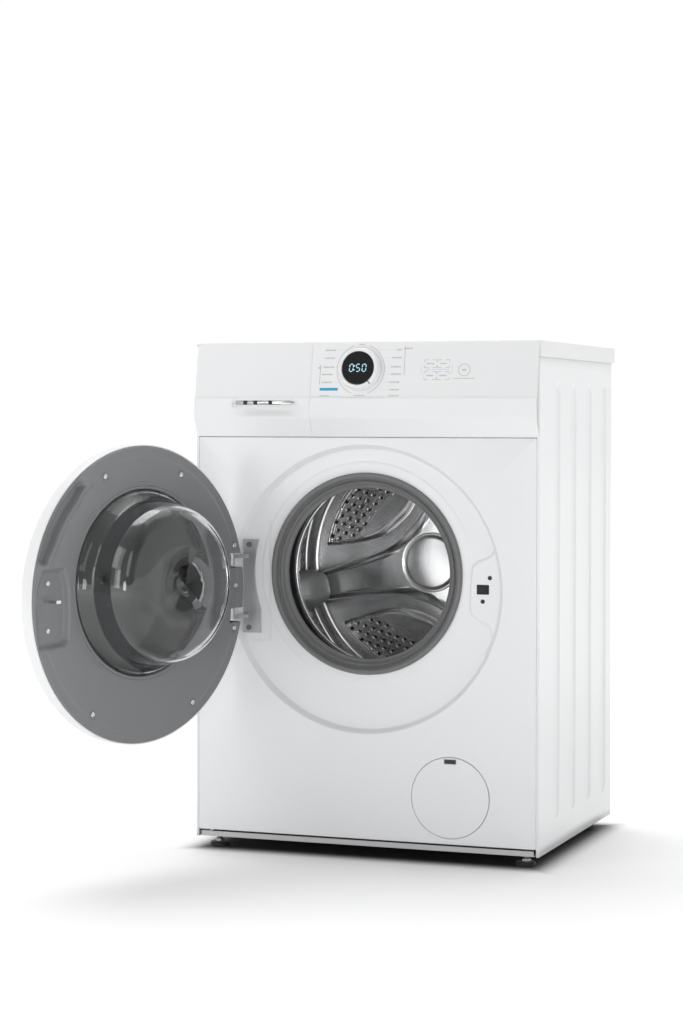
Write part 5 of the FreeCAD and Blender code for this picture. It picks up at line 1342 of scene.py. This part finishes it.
def makeFloor():
    # a wide flat pale floor
    spots = np.linspace(-studio["floor"], studio["floor"], 9) / mm
    x, y = np.meshgrid(spots, spots, indexing="ij")
    points = np.stack([x, y, 0 * x], -1)
    mesh = bpy.data.meshes.new("studio_floor")
    faces = gridFaces(9, 9, False, False)
    mesh.from_pydata((points.reshape(-1, 3) * mm).tolist(), [], faces.tolist())
    paper = Finish("floor_paper", Roughness=0.9)
    broad = paper.noise(3, 2)
    # the paper glows softly far away, so that floor and background meet without a line, and right
    # under the cabinet its colour is nearly black: a painted shadow that deepens the cast one
    x, y, z = paper.axes()
    away = (x * x + y * y).maths("SQRT")
    rimX = x.maths("ABSOLUTE") - halfWidth * mm
    rimY = (y - (front + back) / 2 * mm).maths("ABSOLUTE") - (back - front) / 2 * mm
    edge = rimX.maths("MAXIMUM", rimY)
    # painted shadow: the floor's colour goes nearly black within the cabinet's footprint
    paintedShadow = paper.smooth(edge, -0.03, 0.035, 1.0, 0.0)
    glow = paper.smooth(away, 1.2, 3.5, 0.0, 1.0)
    pale = paper.mix(broad, grey(0.955), grey(0.96))
    paper.set(Base_Color=paper.mix(paintedShadow, pale, grey(0.03)), Emission_Strength=1.0,
              Emission_Color=paper.mix(glow, grey(0), grey(0.35)))
    mesh.materials.append(paper.material)
    floor = bpy.data.objects.new("studio_floor", mesh)
    bpy.context.scene.collection.objects.link(floor)
    floor.data.polygons.foreach_set("use_smooth", np.ones(len(faces), bool))
    if floor.data.polygons[0].normal.z < 0:
        floor.data.flip_normals()


makeFloor()


def placed(name, data):
    holder = bpy.data.objects.new(name, data)
    bpy.context.scene.collection.objects.link(holder)
    return holder


for name, (place, target, width, height, power) in lights.items():
    lamp = bpy.data.lights.new(name, "AREA")
    lamp.shape, lamp.size, lamp.size_y, lamp.energy = "RECTANGLE", width, height, power
    holder = placed(name, lamp)
    holder.location = place
    holder.rotation_euler = (Vector(target) - Vector(place)).to_track_quat("-Z", "Y").to_euler()
sun = bpy.data.lights.new("sun", "SUN")
sun.energy, sun.angle = studio["sun"], math.radians(studio["sunSize"])
placed("sun", sun).rotation_euler = [math.radians(a) for a in studio["sunTurn"]] + [0]

world = bpy.data.worlds.new("studio")
world.use_nodes = True
bpy.context.scene.world = world
sky = world.node_tree
direction = sky.nodes.new("ShaderNodeTexCoord")
split = sky.nodes.new("ShaderNodeSeparateXYZ")
sky.links.new(direction.outputs["Generated"], split.inputs[0])
fade = sky.nodes.new("ShaderNodeMapRange")
fade.interpolation_type = "SMOOTHSTEP"
fade.inputs["From Min"].default_value, fade.inputs["From Max"].default_value = -0.5, 0.35
fade.inputs["To Min"].default_value = studio["worldFront"]
fade.inputs["To Max"].default_value = studio["worldBack"]
sky.links.new(split.outputs["Y"], fade.inputs["Value"])
sky.links.new(fade.outputs[0], sky.nodes["Background"].inputs["Strength"])
sky.nodes["Background"].inputs["Color"].default_value = (1, 1, 1, 1)

view = {"place": (1.35316, -3.9964, 0.71947), "turn": (90 - 0.792, -0.094, 20.393), "lens": 85.636,
        "shift": (0.0034, -0.056)}
camera = bpy.data.cameras.new("camera")
camera.lens, camera.sensor_width = view["lens"], 36
camera.shift_x, camera.shift_y = view["shift"]
camera.clip_end = 60
holder = placed("camera", camera)
holder.location = view["place"]
holder.rotation_euler = [math.radians(a) for a in view["turn"]]
bpy.context.scene.camera = holder
bpy.context.scene.view_settings.view_transform = "Standard"
print("studio made")

bpy.context.view_layer.update()
